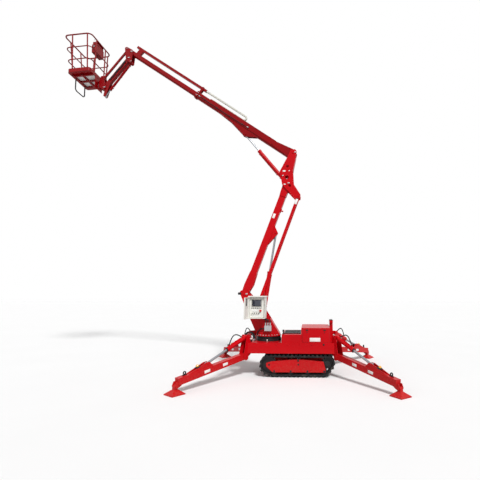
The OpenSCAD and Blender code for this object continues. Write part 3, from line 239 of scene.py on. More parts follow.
def moulded_rubber(name, colour, dust=0.5):
    """Rubber with a fine grain and patches of grey-brown dust."""
    board = Board(name)
    grain = board.noise(180.0, 4.0)
    cloud = board.noise(9.0, 5.0)
    tone = board.mottled(cloud, 0.3, 0.75, colour, 0.8, 1.9)
    tone = board.mix(board.span(cloud, 0.55, 0.85, 0.0, dust), tone, shade(DUST, 0.45))
    board.set(Base_Color=tone, Roughness=board.span(grain, 0.2, 0.8, 0.62, 0.86))
    board.set(Specular_IOR_Level=0.2)
    board.relief(grain, 0.25, 0.002, 0.004)
    return board.material


def black_metal(name, colour):
    board = Board(name)
    speck = board.noise(60.0, 4.0)
    # Grey on the edges, in patches by a noise: partly rubbed wear, partly painted highlight
    rub_and_highlight = board.maths("MULTIPLY", board.worn_and_highlit_edges(0.003), board.span(speck, 0.4, 0.7, 0.0, 0.5))
    tone = board.mottled(board.noise(5.0), 0.3, 0.7, colour, 1.0, 1.8)
    tone = board.mix(rub_and_highlight, tone, (0.20, 0.20, 0.21))
    board.set(Base_Color=tone, Metallic=0.0, Roughness=board.span(speck, 0.2, 0.8, 0.34, 0.52))
    board.set(Specular_IOR_Level=0.25)
    board.relief(speck, 0.08, 0.002, 0.003)
    return board.material


def bare_metal(name, colour, roughness):
    """Plated or polished metal with a faint grain."""
    board = Board(name)
    grain = board.noise(90.0, 3.0)
    tone = board.mottled(board.noise(7.0), 0.3, 0.7, colour, 0.86, 1.0)
    board.set(Base_Color=tone, Metallic=1.0)
    board.set(Roughness=board.span(grain, 0.2, 0.8, roughness * 0.7, roughness * 1.4))
    board.relief(grain, 0.05, 0.001, 0.002)
    return board.material


def moulded_plastic(name, colour, roughness):
    board = Board(name)
    grain = board.noise(320.0, 2.0)
    tone = board.mottled(board.noise(6.0, 4.0), 0.3, 0.75, colour, 0.86, 1.06)
    gloss = board.span(grain, 0.2, 0.8, roughness * 0.85, roughness * 1.15)
    board.set(Base_Color=tone, Roughness=gloss)
    board.relief(grain, 0.10, 0.001, 0.002)
    return board.material


def cast_iron(name, colour):
    board = Board(name)
    grain = board.noise(130.0, 6.0)
    tone = board.mottled(board.noise(11.0, 5.0), 0.3, 0.7, colour, 0.6, 1.2)
    board.set(Base_Color=tone, Metallic=0.6, Roughness=board.span(grain, 0.2, 0.8, 0.5, 0.75))
    board.relief(grain, 0.3, 0.002)
    return board.material


def lens(name, colour):
    """Lamp lens with moulded ribs."""
    board = Board(name)
    inputs = {"Vector": board.place, "Scale": 60.0}
    ribs = board.node("ShaderNodeTexWave", inputs, wave_type="BANDS", bands_direction="Z")
    tone = board.mottled(ribs.outputs["Fac"], 0.0, 1.0, colour, 0.8, 1.0)
    board.set(Base_Color=tone, Roughness=0.15, Coat_Weight=0.6)
    board.relief(ribs.outputs["Fac"], 0.3, 0.002)
    return board.material


def glass_screen(name):
    """Dark display glass with a faint haze."""
    board = Board(name)
    haze = board.noise(4.0, 3.0)
    tone = board.mix(board.span(haze, 0.3, 0.7), (0.006, 0.008, 0.020), (0.012, 0.016, 0.040))
    board.set(Base_Color=tone, Roughness=board.span(haze, 0.2, 0.8, 0.06, 0.14), Coat_Weight=1.0)
    return board.material


# Heights of the black turning ring under the tower and of the black pad on the boom rest
RING_HEIGHT = 0.0993
REST_PAD = 0.014


def turret_zone():
    """Box of the black turning ring under the tower's red flange."""
    low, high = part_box("turret_tower")
    ring_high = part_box("slew_base")[0].z + RING_HEIGHT
    return (low - UP, Vector((high.x + 1, high.y + 1, ring_high)))


def rest_zone():
    """Box of the black pad on the boom rest."""
    low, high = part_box("boom_rest")
    return (Vector((low.x - 1, low.y - 1, high.z - REST_PAD)), high + Vector((1, 1, 1)))


# Nodes above the knuckle, whose red is darkened as painted shade, since they are seen from below
UPPER_NODES = (
    "upper_boom", "inner_boom", "guide_bar", "jib_head", "jib_arm", "jib_link", "jib_barrel",
    "basket_mount", "basket_floor", "basket_rails", "basket_console",
)
# Factor on the red of these nodes: painted shade
UPPER_PAINTED_SHADE = 0.48


def make_finishes():
    """One material for each of the record's slots, and for the nodes in two colours; the nodes above the knuckle
    get a darker red that is painted shade.
    """
    tint = colours()
    red = tint.red
    return {
        "red_paint": gloss_paint("red_paint", red),
        "track_rubber": moulded_rubber("track_rubber", tint.rubber),
        "black_metal": black_metal("black_metal", tint.black),
        "rod_chrome": bare_metal("rod_chrome", (0.33, 0.34, 0.36), 0.30),
        "cream_paint": gloss_paint("cream_paint", tint.cream),
        "engine_metal": cast_iron("engine_metal", (0.16, 0.165, 0.17)),
        "fitting_steel": bare_metal("fitting_steel", (0.50, 0.51, 0.52), 0.38),
        "chain_plastic": moulded_plastic("chain_plastic", tint.chain, 0.55),
        "panel_plastic": moulded_plastic("panel_plastic", tint.cream, 0.45),
        "console_paint": gloss_paint("console_paint", red),
        "label": moulded_plastic("label", tint.label, 0.35),
        "hose": moulded_rubber("hose", (0.016, 0.016, 0.018), 0.15),
        "amber": lens("amber_lens", tint.amber),
        "screen": glass_screen("screen_glass"),
        "knob_red": moulded_plastic("knob_red", (0.62, 0.01, 0.01), 0.3),
        # A darker copy of the red paint for the nodes above the knuckle: painted shade
        **dict.fromkeys(UPPER_NODES, gloss_paint("red_paint_with_painted_shade", shade(red, UPPER_PAINTED_SHADE))),
        "turret_tower": gloss_paint("tower_paint", red, [turret_zone()]),
        "boom_rest": gloss_paint("rest_paint", red, [rest_zone()]),
    }


# Materials by slot, fitting or node, which the finishes operator makes
FINISH = {}


def point(name):
    """Place of a joint in the row frame."""
    return Vector(JOINTS[name]["pos_m"])


def upright_frame(origin, along):
    """Axes with X along a direction of the X-Z plane and Y across the machine."""
    x = along.normalized()
    z = x.cross(ACROSS)
    turn = Matrix((x, ACROSS, z)).transposed().to_4x4()
    return Matrix.Translation(origin) @ turn


def facing(origin, direction):
    """Axes with Z along a direction."""
    turn = direction.to_track_quat("Z", "Y").to_matrix().to_4x4()
    return Matrix.Translation(origin) @ turn


def soften(bm, edges, width):
    bmesh.ops.bevel(
        bm, geom=list(edges), offset=width, affect="EDGES", segments=2, profile=0.5, material=-1,
    )


def add_box(bm, matrix, size, bevel=None):
    made = bmesh.ops.create_cube(bm, size=1.0, matrix=matrix @ Matrix.Diagonal((*size, 1.0)))
    edges = {edge for vert in made["verts"] for edge in vert.link_edges}
    soften(bm, edges, bevel or sizes().edge)


def add_disc(bm, matrix, radius, height, sides=24, bevel=None):
    """An upright round or many-sided plug from its base, with a bevelled rim."""
    made = bmesh.ops.create_cone(
        bm, cap_ends=True, segments=sides, radius1=radius, radius2=radius, depth=height,
        matrix=matrix @ Matrix.Translation((0, 0, height / 2)),
    )
    tops = {edge for vert in made["verts"] for edge in vert.link_edges if len(edge.link_faces) == 2
            and any(len(face.verts) == sides for face in edge.link_faces)}
    soften(bm, tops, bevel or sizes().edge)


def add_bolt(bm, matrix, radius):
    """Hexagon head on a washer."""
    washer = radius * 0.25
    add_disc(bm, matrix, radius * 1.45, washer, 18, washer * 0.3)
    add_disc(bm, matrix @ Matrix.Translation((0, 0, washer)), radius, radius * 1.1, 6, radius * 0.1)


def add_turned(bm, matrix, outline, steps, closed=False):
    """Spins an outline of radii and heights once round the place's Z axis."""
    verts = [bm.verts.new(matrix @ Vector((r, 0, z))) for r, z in outline]
    pairs = list(zip(verts, verts[1:]))
    if closed:
        pairs.append((verts[-1], verts[0]))
    edges = [bm.edges.new(pair) for pair in pairs]
    bmesh.ops.spin(
        bm, geom=verts + edges, cent=matrix.translation, axis=matrix.to_3x3() @ UP, dvec=(0, 0, 0),
        angle=2 * math.pi, steps=steps, use_merge=True,
    )


def add_dome(bm, matrix, radius, height):
    """A turned knob or lens from a quarter outline."""
    steps = 8
    angles = [step / steps * math.pi / 2 for step in range(steps + 1)]
    add_turned(bm, matrix, [(radius * math.cos(a), height * math.sin(a)) for a in angles], 24)


def add_ring(bm, matrix, inner, outer, height):
    """A flat ring from its base."""
    outline = ((inner, 0), (outer, 0), (outer, height), (inner, height))
    add_turned(bm, matrix, outline, 32, closed=True)


def add_tube(bm, points, radius, sides=10):
    """A round tube along points, closed at both ends."""
    first = None
    ring = None
    for i, here in enumerate(points):
        before = points[max(i - 1, 0)]
        after = points[min(i + 1, len(points) - 1)]
        place = facing(here, (after - before).normalized())
        made = bmesh.ops.create_circle(bm, cap_ends=False, radius=radius, segments=sides, matrix=place)
        edges = list({edge for vert in made["verts"] for edge in vert.link_edges})
        if ring is not None:
            bmesh.ops.bridge_loops(bm, edges=ring + edges)
        else:
            first = edges
        ring = edges
    bmesh.ops.edgeloop_fill(bm, edges=first)
    bmesh.ops.edgeloop_fill(bm, edges=ring)


def smooth_path(points, steps=6):
    """Points along a smooth line through the given ones."""
    made = []
    last = len(points) - 1
    for i in range(last):
        p0 = points[max(i - 1, 0)]
        p1 = points[i]
        p2 = points[i + 1]
        p3 = points[min(i + 2, last)]
        for step in range(steps):
            t = step / steps
            made.append(0.5 * (
                2 * p1 + (p2 - p0) * t + (2 * p0 - 5 * p1 + 4 * p2 - p3) * t ** 2
                + (3 * p1 - p0 - 3 * p2 + p3) * t ** 3
            ))
    made.append(points[last])
    return made


def add_object(name, data):
    made = bpy.data.objects.new(name, data)
    bpy.context.scene.collection.objects.link(made)
    return made


SMOOTH_ANGLE = math.radians(38)


def finish_piece(bm, name, finish, body):
    """Turns a bmesh into a piece that rides on a body of the machine."""
    bmesh.ops.remove_doubles(bm, verts=bm.verts, dist=1e-6)
    bmesh.ops.recalc_face_normals(bm, faces=bm.faces)
    mesh = bpy.data.meshes.new(name)
    for face in bm.faces:
        face.smooth = True
    bm.to_mesh(mesh)
    bm.free()
    mesh.set_sharp_from_angle(angle=SMOOTH_ANGLE)
    mesh.materials.append(FINISH[finish])
    piece = add_object(name, mesh)
    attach(piece, body)
    return piece


@contextmanager
def new_piece(name, finish, body, slot=None):
    """A bmesh that the block fills, made into a piece with the finish; the slot argument is not used."""
    bm = bmesh.new()
    yield bm
    finish_piece(bm, name, finish, body)


class LIFT_OT_finishes(bpy.types.Operator):
    """Make the materials and give one to every solid of the machine"""

    bl_idname = "lift.finishes"
    bl_label = "Finishes"

    def execute(self, context):
        FINISH.update(make_finishes())
        for name, node in NODES.items():
            node.data.materials.clear()
            node.data.materials.append(FINISH.get(name) or FINISH[SLOT_OF[name]])
        return {"FINISHED"}


# Outer faces of the plates that carry the pins, from the middle plane
PLATE_FACES = {"turret": 0.107, "knuckle": 0.107, "jib_head": 0.074, "basket_mount": 0.074}
# Pivot pins that end outside their plates: body that carries them, then joint and pin radius
PIN_ENDS = {
    "turret": (("lower_boom", 0.030), ("parallel_link", 0.020), ("lift_barrel", 0.024)),
    "knuckle": (("knuckle", 0.030), ("upper_boom", 0.030), ("upper_barrel", 0.024)),
    "jib_head": (("jib_head", 0.025), ("jib", 0.025), ("jib_link", 0.016), ("jib_barrel", 0.016)),
    "basket_mount": (("basket_mount", 0.025),),
}


def add_keeper(bm, place, radius):
    """A plate over the edge of a pin, with its bolt."""
    thick = sizes().keeper
    middle = place @ Matrix.Translation((radius * 1.2, 0, thick / 2))
    add_box(bm, middle, (radius * 2.2, radius * 0.9, thick))
    add_bolt(bm, place @ Matrix.Translation((radius * 1.9, 0, thick)), radius * 0.33)


class LIFT_OT_pin_caps(bpy.types.Operator):
    """Keeper plates with bolts on the ends of the pivot pins"""

    bl_idname = "lift.pin_caps"
    bl_label = "Pin Keepers"

    def execute(self, context):
        for body, pins in PIN_ENDS.items():
            with new_piece("pin_keepers_" + body, "fitting_steel", body) as bm:
                for joint, radius in pins:
                    for side in (-1, 1):
                        face = point(joint) + ACROSS * side * PLATE_FACES[body]
                        add_keeper(bm, facing(face, ACROSS * side), radius)
        return {"FINISHED"}


def mm(*values):
    return Vector(values) / 1000


# Slewing axis from the middle of the four feet
SLEW_X = -0.513


def machine(x, y, z):
    """A point given in millimetres from the middle of the four feet."""
    return mm(x, y, z) + Vector((point("slew").x - SLEW_X, 0, 0))


def spot(x, y, z):
    """Upright axes at a point of the machine."""
    return Matrix.Translation(machine(x, y, z))


def lower_frame():
    """X along the lower boom from its foot, Z to its upper side."""
    return upright_frame(point("lower_boom"), point("knuckle") - point("lower_boom"))


def upper_frame():
    """X along the upper boom from its pivot, Z to its underside."""
    return upright_frame(point("upper_boom"), Vector(JOINTS["telescope"]["axis"]))


def jib_frame():
    """X along the jib arm from its upper pin, Z to the side of the cylinder."""
    return upright_frame(point("jib"), point("basket_mount") - point("jib"))


def basket_frame():
    """The basket's leaning axes from the jib arm's lower pin."""
    return upright_frame(point("basket_mount"), ACROSS.cross(Vector(JOINTS["basket_turn"]["axis"])))


def leg_frame(tag):
    """X outwards along an outrigger from its hinge, Z up from the ground."""
    hinge = point("outrigger_" + tag)
    out = point("pad_" + tag) - hinge
    out.z = 0
    out.normalize()
    turn = Matrix((out, UP.cross(out), UP)).transposed().to_4x4()
    return Matrix.Translation((hinge.x, hinge.y, 0)) @ turn


def shifted(frame_matrix, x, y, z):
    return frame_matrix @ Matrix.Translation(mm(x, y, z))


TURN_NEAR = Matrix.Rotation(math.radians(90), 4, "X")
TURN_FAR = Matrix.Rotation(math.radians(-90), 4, "X")
TURN_UNDER = Matrix.Rotation(math.radians(180), 4, "X")
TURN_RIGHT = Matrix.Rotation(math.radians(90), 4, "Y")
TURN_LEFT = Matrix.Rotation(math.radians(-90), 4, "Y")


def side_turn(side):
    """Turns Z towards the near or the far side of the machine."""
    return TURN_NEAR if side < 0 else TURN_FAR


def flank(side, x, y, z):
    """Axes with Z out of the machine's near or far side, at a point in millimetres."""
    return spot(x, side * y, z) @ side_turn(side)


def add_block(bm, place, at, size, bevel=None):
    """A box with its middle and sizes in millimetres of a place's axes."""
    add_box(bm, shifted(place, *at), mm(*size), bevel)


# Outriggers: heights and places along the sloping beam from its hinge, in millimetres
LEG_HINGE = 396
LEG_SLOPE = math.radians(7.6)
LAMP_AT = (1113, 111)
LAMP_SLOPE = math.radians(13.35)
EYE_AT = 1382
BEAM_HALF = 57.5


def sloped_leg(tag):
    """X along an outrigger's beam from its hinge, Z to its upper side."""
    return shifted(leg_frame(tag), 0, 0, LEG_HINGE) @ Matrix.Rotation(LEG_SLOPE, 4, "Y")


# Cable chain in millimetres: heights of its runs from the boom's pivot line, bend and ends along it
CHAIN_LOW = -22.3
CHAIN_HIGH = -140.0
CHAIN_BEND_AT = 1585.85
CHAIN_ENDS = (2556, 2870)
CHAIN_PITCH = 56
CHAIN_HALF = 24
CHAIN_HEIGHT = 41
CHAIN_CHEEK = (62, 4, CHAIN_HEIGHT)
CHAIN_BAR = (24, 2 * CHAIN_HALF - 4, 4)


def chain_places():
    """Centre and heading of each link, from the tray round the bend to the guide bar."""
    radius = (CHAIN_LOW - CHAIN_HIGH) / 2
    middle = (CHAIN_LOW + CHAIN_HIGH) / 2
    low_run = CHAIN_ENDS[0] - CHAIN_BEND_AT
    arc = math.pi * radius
    total = low_run + arc + CHAIN_ENDS[1] - CHAIN_BEND_AT
    count = round(total / CHAIN_PITCH)
    for i in range(count):
        run = (i + 0.5) * total / count
        if run < low_run:
            yield CHAIN_ENDS[0] - run, CHAIN_LOW, math.pi
        elif run < low_run + arc:
            angle = (run - low_run) / radius
            s = CHAIN_BEND_AT - radius * math.sin(angle)
            yield s, middle + radius * math.cos(angle), math.pi + angle
        else:
            yield CHAIN_BEND_AT + run - low_run - arc, CHAIN_HIGH, 2 * math.pi


class LIFT_OT_chain(bpy.types.Operator):
    """Cable chain of side plates, pins and bars"""

    bl_idname = "lift.chain"
    bl_label = "Cable Chain"

    def execute(self, context):
        bm = bmesh.new()
        pins = bmesh.new()
        frame_matrix = upper_frame()
        for i, (s, n, turn) in enumerate(chain_places()):
            place = shifted(frame_matrix, s, 0, n) @ Matrix.Rotation(-turn, 4, "Y")
            inset = 4 if i % 2 else 0
            for side in (-1, 1):
                cheek_at = (0, side * (CHAIN_HALF - 2.5 - inset), 0)
                add_block(bm, place, cheek_at, CHAIN_CHEEK, 0.0015)
                pin = shifted(place, CHAIN_PITCH / 2, side * (CHAIN_HALF - 2), 0)
                add_disc(pins, pin @ side_turn(side), 0.009, 0.003, 12, 0.0008)
            for z in (-CHAIN_HEIGHT / 2 + 2, CHAIN_HEIGHT / 2 - 2):
                add_block(bm, place, (0, 0, z), CHAIN_BAR, 0.001)
        chain = finish_piece(bm, "chain_links", "chain_plastic", "cable_chain")
        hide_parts("cable_chain")
        finish_piece(pins, "chain_pins", "fitting_steel", "cable_chain")
        return {"FINISHED"}


def plate_on(bm, place, width, height, thick=1.2):
    """A blank plate with soft corners, its back on the place's XY plane."""
    add_box(bm, shifted(place, 0, 0, thick / 2), mm(width, height, thick), thick / 2500)


# Label places and sizes in millimetres: hood, lower boom, knuckle, ends of the link and outriggers
HOOD_LABEL = ((491, 450, 712), (217, 74))
BOOM_LABEL = ((1880, -62, 10), (110, 56))
KNUCKLE_LABELS = (((-60, 300), (62, 36)), ((62, 306), (24, 24)), ((-40, -28), (52, 26)))
LINK_FACE = 90
LINK_LABEL = (150, (130, 56))
LEG_LABELS = ((530, (120, 48)), (950, (125, 48)))


class LIFT_OT_labels(bpy.types.Operator):
    """Blank plates and labels"""

    bl_idname = "lift.labels"
    bl_label = "Labels"

    def execute(self, context):
        groups = defaultdict(bmesh.new)
        at, size = HOOD_LABEL
        plate_on(groups["chassis"], flank(-1, *at), *size)
        at, size = BOOM_LABEL
        plate_on(groups["lower_boom"], shifted(lower_frame(), *at) @ TURN_NEAR, *size)
        low = point("knuckle")
        face = ACROSS * -PLATE_FACES["knuckle"]
        for (x, z), size in KNUCKLE_LABELS:
            plate_on(groups["knuckle"], Matrix.Translation(low + face + mm(x, 0, z)) @ TURN_NEAR, *size)
        along = low - point("lower_boom")
        link = upright_frame(point("parallel_link"), along)
        inset, size = LINK_LABEL
        for side in (-1, 1):
            end = shifted(link, along.length * 1000 - inset, side * LINK_FACE, 0)
            plate_on(groups["parallel_link"], end @ side_turn(side), *size)
        for tag in CORNERS:
            beam = sloped_leg(tag)
            for s, size in LEG_LABELS:
                for side in (-1, 1):
                    wall = shifted(beam, s, side * BEAM_HALF, 0) @ side_turn(side)
                    plate_on(groups["outrigger_" + tag], wall, *size)
        for body, bm in groups.items():
            finish_piece(bm, "labels_" + body, "label", body)
        return {"FINISHED"}


def ring_of_bolts(bm, place, radius, count, size, keep=None):
    for i in range(count):
        angle = 2 * math.pi * (i + 0.5) / count
        x = radius * math.cos(angle)
        y = radius * math.sin(angle)
        if keep is None or keep(x, y):
            add_bolt(bm, place @ Matrix.Translation((x, y, 0)), size)


# Bolts: places in millimetres, rings in metres; the tower's plates stand on the flange's circle
FLANGE_TOP = 765.3
FLANGE_RING = (0.246, 24)
TOWER_PLATE = 0.101
TOWER_ROOM = 0.03
HUB_AT = (735, 458, 262)
HUB_RING = (0.037, 6)
SIDE_FACE = 480
SIDE_BOLTS = (-300, -60, 180, 420, 660)
SIDE_BOLT_HEIGHT = 620
COLLAR_FACE = 79
COLLAR_BOLTS = ((2945, 30), (2945, 100), (2976, 30), (2976, 100))


def clear_of_tower(x, y):
    return abs(abs(y) - TOWER_PLATE) > TOWER_ROOM


class LIFT_OT_bolts(bpy.types.Operator):
    """Bolts of the slewing ring, track hubs, chassis sides and boom collar"""

    bl_idname = "lift.bolts"
    bl_label = "Bolts"

    def execute(self, context):
        size = sizes().bolt
        with new_piece("flange_bolts", "fitting_steel", "turret") as bm:
            ring_of_bolts(bm, spot(SLEW_X * 1000, 0, FLANGE_TOP), *FLANGE_RING, size, clear_of_tower)
        with new_piece("hub_bolts", "black_metal", "chassis") as bm:
            for side in (-1, 1):
                ring_of_bolts(bm, flank(side, *HUB_AT), *HUB_RING, size * 0.7)
        with new_piece("chassis_bolts", "red_paint", "chassis") as bm:
            for side in (-1, 1):
                for x in SIDE_BOLTS:
                    add_bolt(bm, flank(side, x, SIDE_FACE, SIDE_BOLT_HEIGHT), size * 0.8)
        with new_piece("collar_bolts", "fitting_steel", "upper_boom") as bm:
            for side in (-1, 1):
                for s, n in COLLAR_BOLTS:
                    wall = shifted(upper_frame(), s, side * COLLAR_FACE, n) @ side_turn(side)
                    add_bolt(bm, wall, size * 0.6)
        return {"FINISHED"}


# Control panel in millimetres: middle of its face, then places on it and sizes
PANEL_FACE = (-722, 400, 1342)
SCREEN = ((-12, 95, 9.5), (176, 116, 3))
BEZEL_BARS = (
    ((-12, 32, 9), (206, 10, 6)),
    ((-12, 158, 9), (206, 10, 6)),
    ((-110, 95, 9), (10, 136, 6)),
    ((86, 95, 9), (10, 136, 6)),
)
PANEL_STOP = (75, -60, 25)
PANEL_PLATES = (((-50, -60, 0), (120, 40)), ((-20, -160, 0), (200, 26)))
# Rows of round keys: first place, step and count, then radius and height in metres
KEY_ROWS = (((-110, -8, 0), 38, 6, 0.011, 0.010), ((-95, -110, 15), 45, 4, 0.009, 0.022))
# Cabinet door: turn from its closed place, middle and half sizes of its oval grip
DOOR_OPEN = math.radians(95)
GRIP_AT = (190, 9, 120)
GRIP_HALF = (28, 70)
GRIP_STEPS = 32


class LIFT_OT_panel_parts(bpy.types.Operator):
    """Screen, keys and stop button of the control cabinet, and the door's grip"""

    bl_idname = "lift.panel_parts"
    bl_label = "Control Panel"

    def execute(self, context):
        face = flank(-1, *PANEL_FACE)
        with new_piece("screen", "screen", "turret", "black_metal") as bm:
            add_block(bm, face, *SCREEN, 0.0008)
        with new_piece("panel_keys", "black_metal", "turret") as bm:
            for at, size in BEZEL_BARS:
                add_block(bm, face, at, size, 0.001)
            for (x, y, z), step, count, radius, height in KEY_ROWS:
                for i in range(count):
                    add_disc(bm, shifted(face, x + i * step, y, z), radius, height, 16)
        with new_piece("stop_button", "knob_red", "turret", "red_paint") as bm:
            add_dome(bm, shifted(face, *PANEL_STOP), 0.024, 0.012)
        with new_piece("panel_plates", "label", "turret", "cream_paint") as bm:
            for at, size in PANEL_PLATES:
                plate_on(bm, shifted(face, *at), *size)
        door = Matrix.Translation(point("cabinet_door")) @ Matrix.Rotation(-DOOR_OPEN, 4, "Z")
        turns = [2 * math.pi * i / GRIP_STEPS for i in range(GRIP_STEPS + 1)]
        wide, high = GRIP_HALF
        oval = [door @ (mm(*GRIP_AT) + mm(wide * math.cos(a), 0, high * math.sin(a))) for a in turns]
        with new_piece("door_grip", "black_metal", "cabinet_door") as bm:
            add_tube(bm, oval, 0.006)
        return {"FINISHED"}


def add_fittings(bm, route, radius):
    """A crimped sleeve and a hexagon nut on both ends of a hose."""
    for end, inner in ((route[0], route[1]), (route[-1], route[-2])):
        place = facing(end, (inner - end).normalized())
        add_disc(bm, place @ Matrix.Translation((0, 0, 0.004)), radius * 1.35, 0.034, 16)
        add_disc(bm, place @ Matrix.Translation((0, 0, -0.010)), radius * 1.6, 0.016, 6)


def fitted_hoses(prefix, body, runs, radius):
    """Hoses through lists of points on one body, with fittings on their ends."""
    routes = [smooth_path(points) for points in runs]
    with new_piece(prefix + "_hoses", "hose", body, "track_rubber") as bm:
        for route in routes:
            add_tube(bm, route, radius)
    with new_piece(prefix + "_nuts", "fitting_steel", body) as bm:
        for route in routes:
            add_fittings(bm, route, radius)


# Hoses at the valve block in millimetres: ports and bends along the machine, exits across it
VALVE_PORTS = (-570, -520, -470)
VALVE_BENDS = (-600, -576, -552)
VALVE_EXITS = (-120, -160)
EXIT_RUN = ((0, 0, 0), (-70, 0, -10), (-140, 6, -60), (-162, 16, -132))
# Loops on the deck: points, place across of the first, steps to the next
DECK_LOOP = ((-1015, 654), (-1006, 760), (-945, 828), (-865, 812), (-818, 735), (-808, 654))
DECK_FIRST = -205
DECK_STEPS = (8, 30)
# Hoses on the knuckle's far plate, from its lower pin: points, place across, step, clips
KNUCKLE_RISE = ((40, 60), (-10, 200), (15, 360), (60, 520), (75, 610))
KNUCKLE_SIDE = 121
KNUCKLE_STEP = 22
KNUCKLE_CLIPS = (
    ((66, 119, 50), (92, 24, 26)),
    ((36, 120, 360), (86, 26, 24)),
    ((98, 119, 622), (92, 24, 26)),
)
# Hoses on both sides of the upper boom: points, clips and place across
BOOM_COURSE = ((1320, 84), (1500, 96), (1900, 100), (2300, 98), (2700, 92), (2880, 86))
BOOM_CLIPS = ((1312, 84), *BOOM_COURSE[1:5], (2890, 86))
BOOM_CLIP = (26, 18, 30)
BOOM_SIDES = (-73, 73)


class LIFT_OT_hoses(bpy.types.Operator):
    """Hydraulic hoses that are clipped to one body along their whole length"""

    bl_idname = "lift.hoses"
    bl_label = "Hoses"

    def execute(self, context):
        radius = sizes().hose
        tops = [machine(x, -142, 1004) for x in VALVE_PORTS]
        with new_piece("turret_hoses", "hose", "turret", "track_rubber") as bm:
            for top, x in zip(tops, VALVE_BENDS):
                bend = machine(x, -126, 1090)
                path = [top, top + mm(0, 0, 60), bend, bend + mm(-40, 8, 60)]
                add_tube(bm, smooth_path(path), radius)
            for y in VALVE_EXITS:
                path = [machine(-590, y, 900) + mm(*bend) for bend in EXIT_RUN]
                add_tube(bm, smooth_path(path), radius)
        with new_piece("turret_fittings", "fitting_steel", "turret") as bm:
            for top in tops:
                add_disc(bm, Matrix.Translation(top), 0.016, 0.014, 6)
        along, across = DECK_STEPS
        fitted_hoses("deck", "chassis", [
            [machine(x + i * along, DECK_FIRST + i * across, z) for x, z in DECK_LOOP] for i in range(3)
        ], radius * 1.3)
        low = point("knuckle")
        fitted_hoses("knuckle", "knuckle", [
            [low + mm(x + i * KNUCKLE_STEP, KNUCKLE_SIDE, z) for x, z in KNUCKLE_RISE] for i in range(3)
        ], radius)
        with new_piece("knuckle_clips", "black_metal", "knuckle") as bm:
            for at, size in KNUCKLE_CLIPS:
                add_box(bm, Matrix.Translation(low + mm(*at)), mm(*size))
        upper = upper_frame()
        fitted_hoses("boom", "upper_boom", [
            [upper @ mm(s, y, n) for s, n in BOOM_COURSE] for y in BOOM_SIDES
        ], radius * 0.8)
        with new_piece("boom_clips", "black_metal", "upper_boom") as bm:
            for y in BOOM_SIDES:
                for s, n in BOOM_CLIPS:
                    add_block(bm, upper, (s, y, n), BOOM_CLIP)
        return {"FINISHED"}


# Cylinders: barrel, rod, barrel radius, rod radius, barrel length, eye radius and side of the pipe
CYLINDERS = [
    ("lift_barrel", "lift_rod", 48, 24, 885, 48, -1),
    ("upper_barrel", "upper_rod", 45, 22, 883, 45, 1),
    ("jib_barrel", "jib_rod", 28, 15, 930, 30, 1),
    *(("leg_barrel_" + tag, "leg_rod_" + tag, 42, 22, 530, 40, 1) for tag in CORNERS),
]
GLAND = 40
# Ports: size, distances from the eye and from the gland, and how deep they sit in the barrel
PORT = (32, 26, 22)
PORT_INSETS = (70, 40)
PORT_SINK = 6
PIPE_RADIUS = 0.007
PIPE_CLIP = (16, 30, 20)
# Hose from port to port of an outrigger's cylinder
ARC_RISE = 115
ARC_STEPS = 16


def barrel_frame(barrel, rod):
    """X along a cylinder from the eye of its barrel, Y level."""
    along = Vector(JOINTS[rod]["axis"]).normalized()
    if not barrel.startswith("leg"):
        return upright_frame(point(barrel), along)
    level = UP.cross(Vector((along.x, along.y, 0))).normalized()
    turn = Matrix((along, level, along.cross(level))).transposed().to_4x4()
    return Matrix.Translation(point(barrel)) @ turn


def arc_over(place, ends, height):
    """Points of an arc that rises over a cylinder from one port to the other."""
    for i in range(ARC_STEPS + 1):
        share = i / ARC_STEPS
        x = ends[0] + (ends[1] - ends[0]) * share
        yield place @ mm(x, 0, height + ARC_RISE * math.sin(math.pi * share))


class LIFT_OT_cylinders(bpy.types.Operator):
    """Pipes, ports, wipers and hoses of the hydraulic cylinders"""

    bl_idname = "lift.cylinders"
    bl_label = "Cylinders"

    def execute(self, context):
        for barrel, rod, radius, rod_radius, length, eye, side in CYLINDERS:
            place = barrel_frame(barrel, rod)
            ends = (eye + PORT_INSETS[0], length - GLAND - PORT_INSETS[1])
            height = side * (radius + PORT[2] / 2 - PORT_SINK)
            # The jib cylinder's pipe takes its barrel's darker red, which is painted shade
            paint = barrel if barrel in FINISH else "red_paint"
            with new_piece("pipe_" + barrel, paint, barrel, "red_paint") as bm:
                for x in ends:
                    add_block(bm, place, (x, 0, height), PORT)
                add_block(bm, place, (sum(ends) / 2, 0, height), PIPE_CLIP)
                add_tube(bm, [place @ mm(x, 0, height) for x in ends], PIPE_RADIUS, 14)
            with new_piece("nuts_" + barrel, "fitting_steel", barrel) as bm:
                for x, turn in ((ends[0] + PORT[0] / 2, TURN_RIGHT), (ends[1] - PORT[0] / 2, TURN_LEFT)):
                    add_disc(bm, shifted(place, x, 0, height) @ turn, 0.012, 0.014, 6)
            mouth = shifted(place, length, 0, 0) @ TURN_RIGHT
            with new_piece("wiper_" + barrel, "black_metal", barrel) as bm:
                add_ring(bm, mouth, (rod_radius + 0.6) / 1000, (radius - 3) / 1000, 0.004)
            if barrel.startswith("leg"):
                route = list(arc_over(place, ends, radius + PORT[2] - PORT_SINK))
                with new_piece("hose_" + barrel, "hose", barrel, "track_rubber") as bm:
                    add_tube(bm, route, sizes().hose * 1.2)
        return {"FINISHED"}


# Plate and housing of an outrigger's lamp, foot and ring of its tie-down eye, in millimetres
LAMP_PLATE = (72, 92, 8)
LAMP_HOUSING = 18
EYE_FOOT = (92, 14, 12)
EYE_RISE = 38


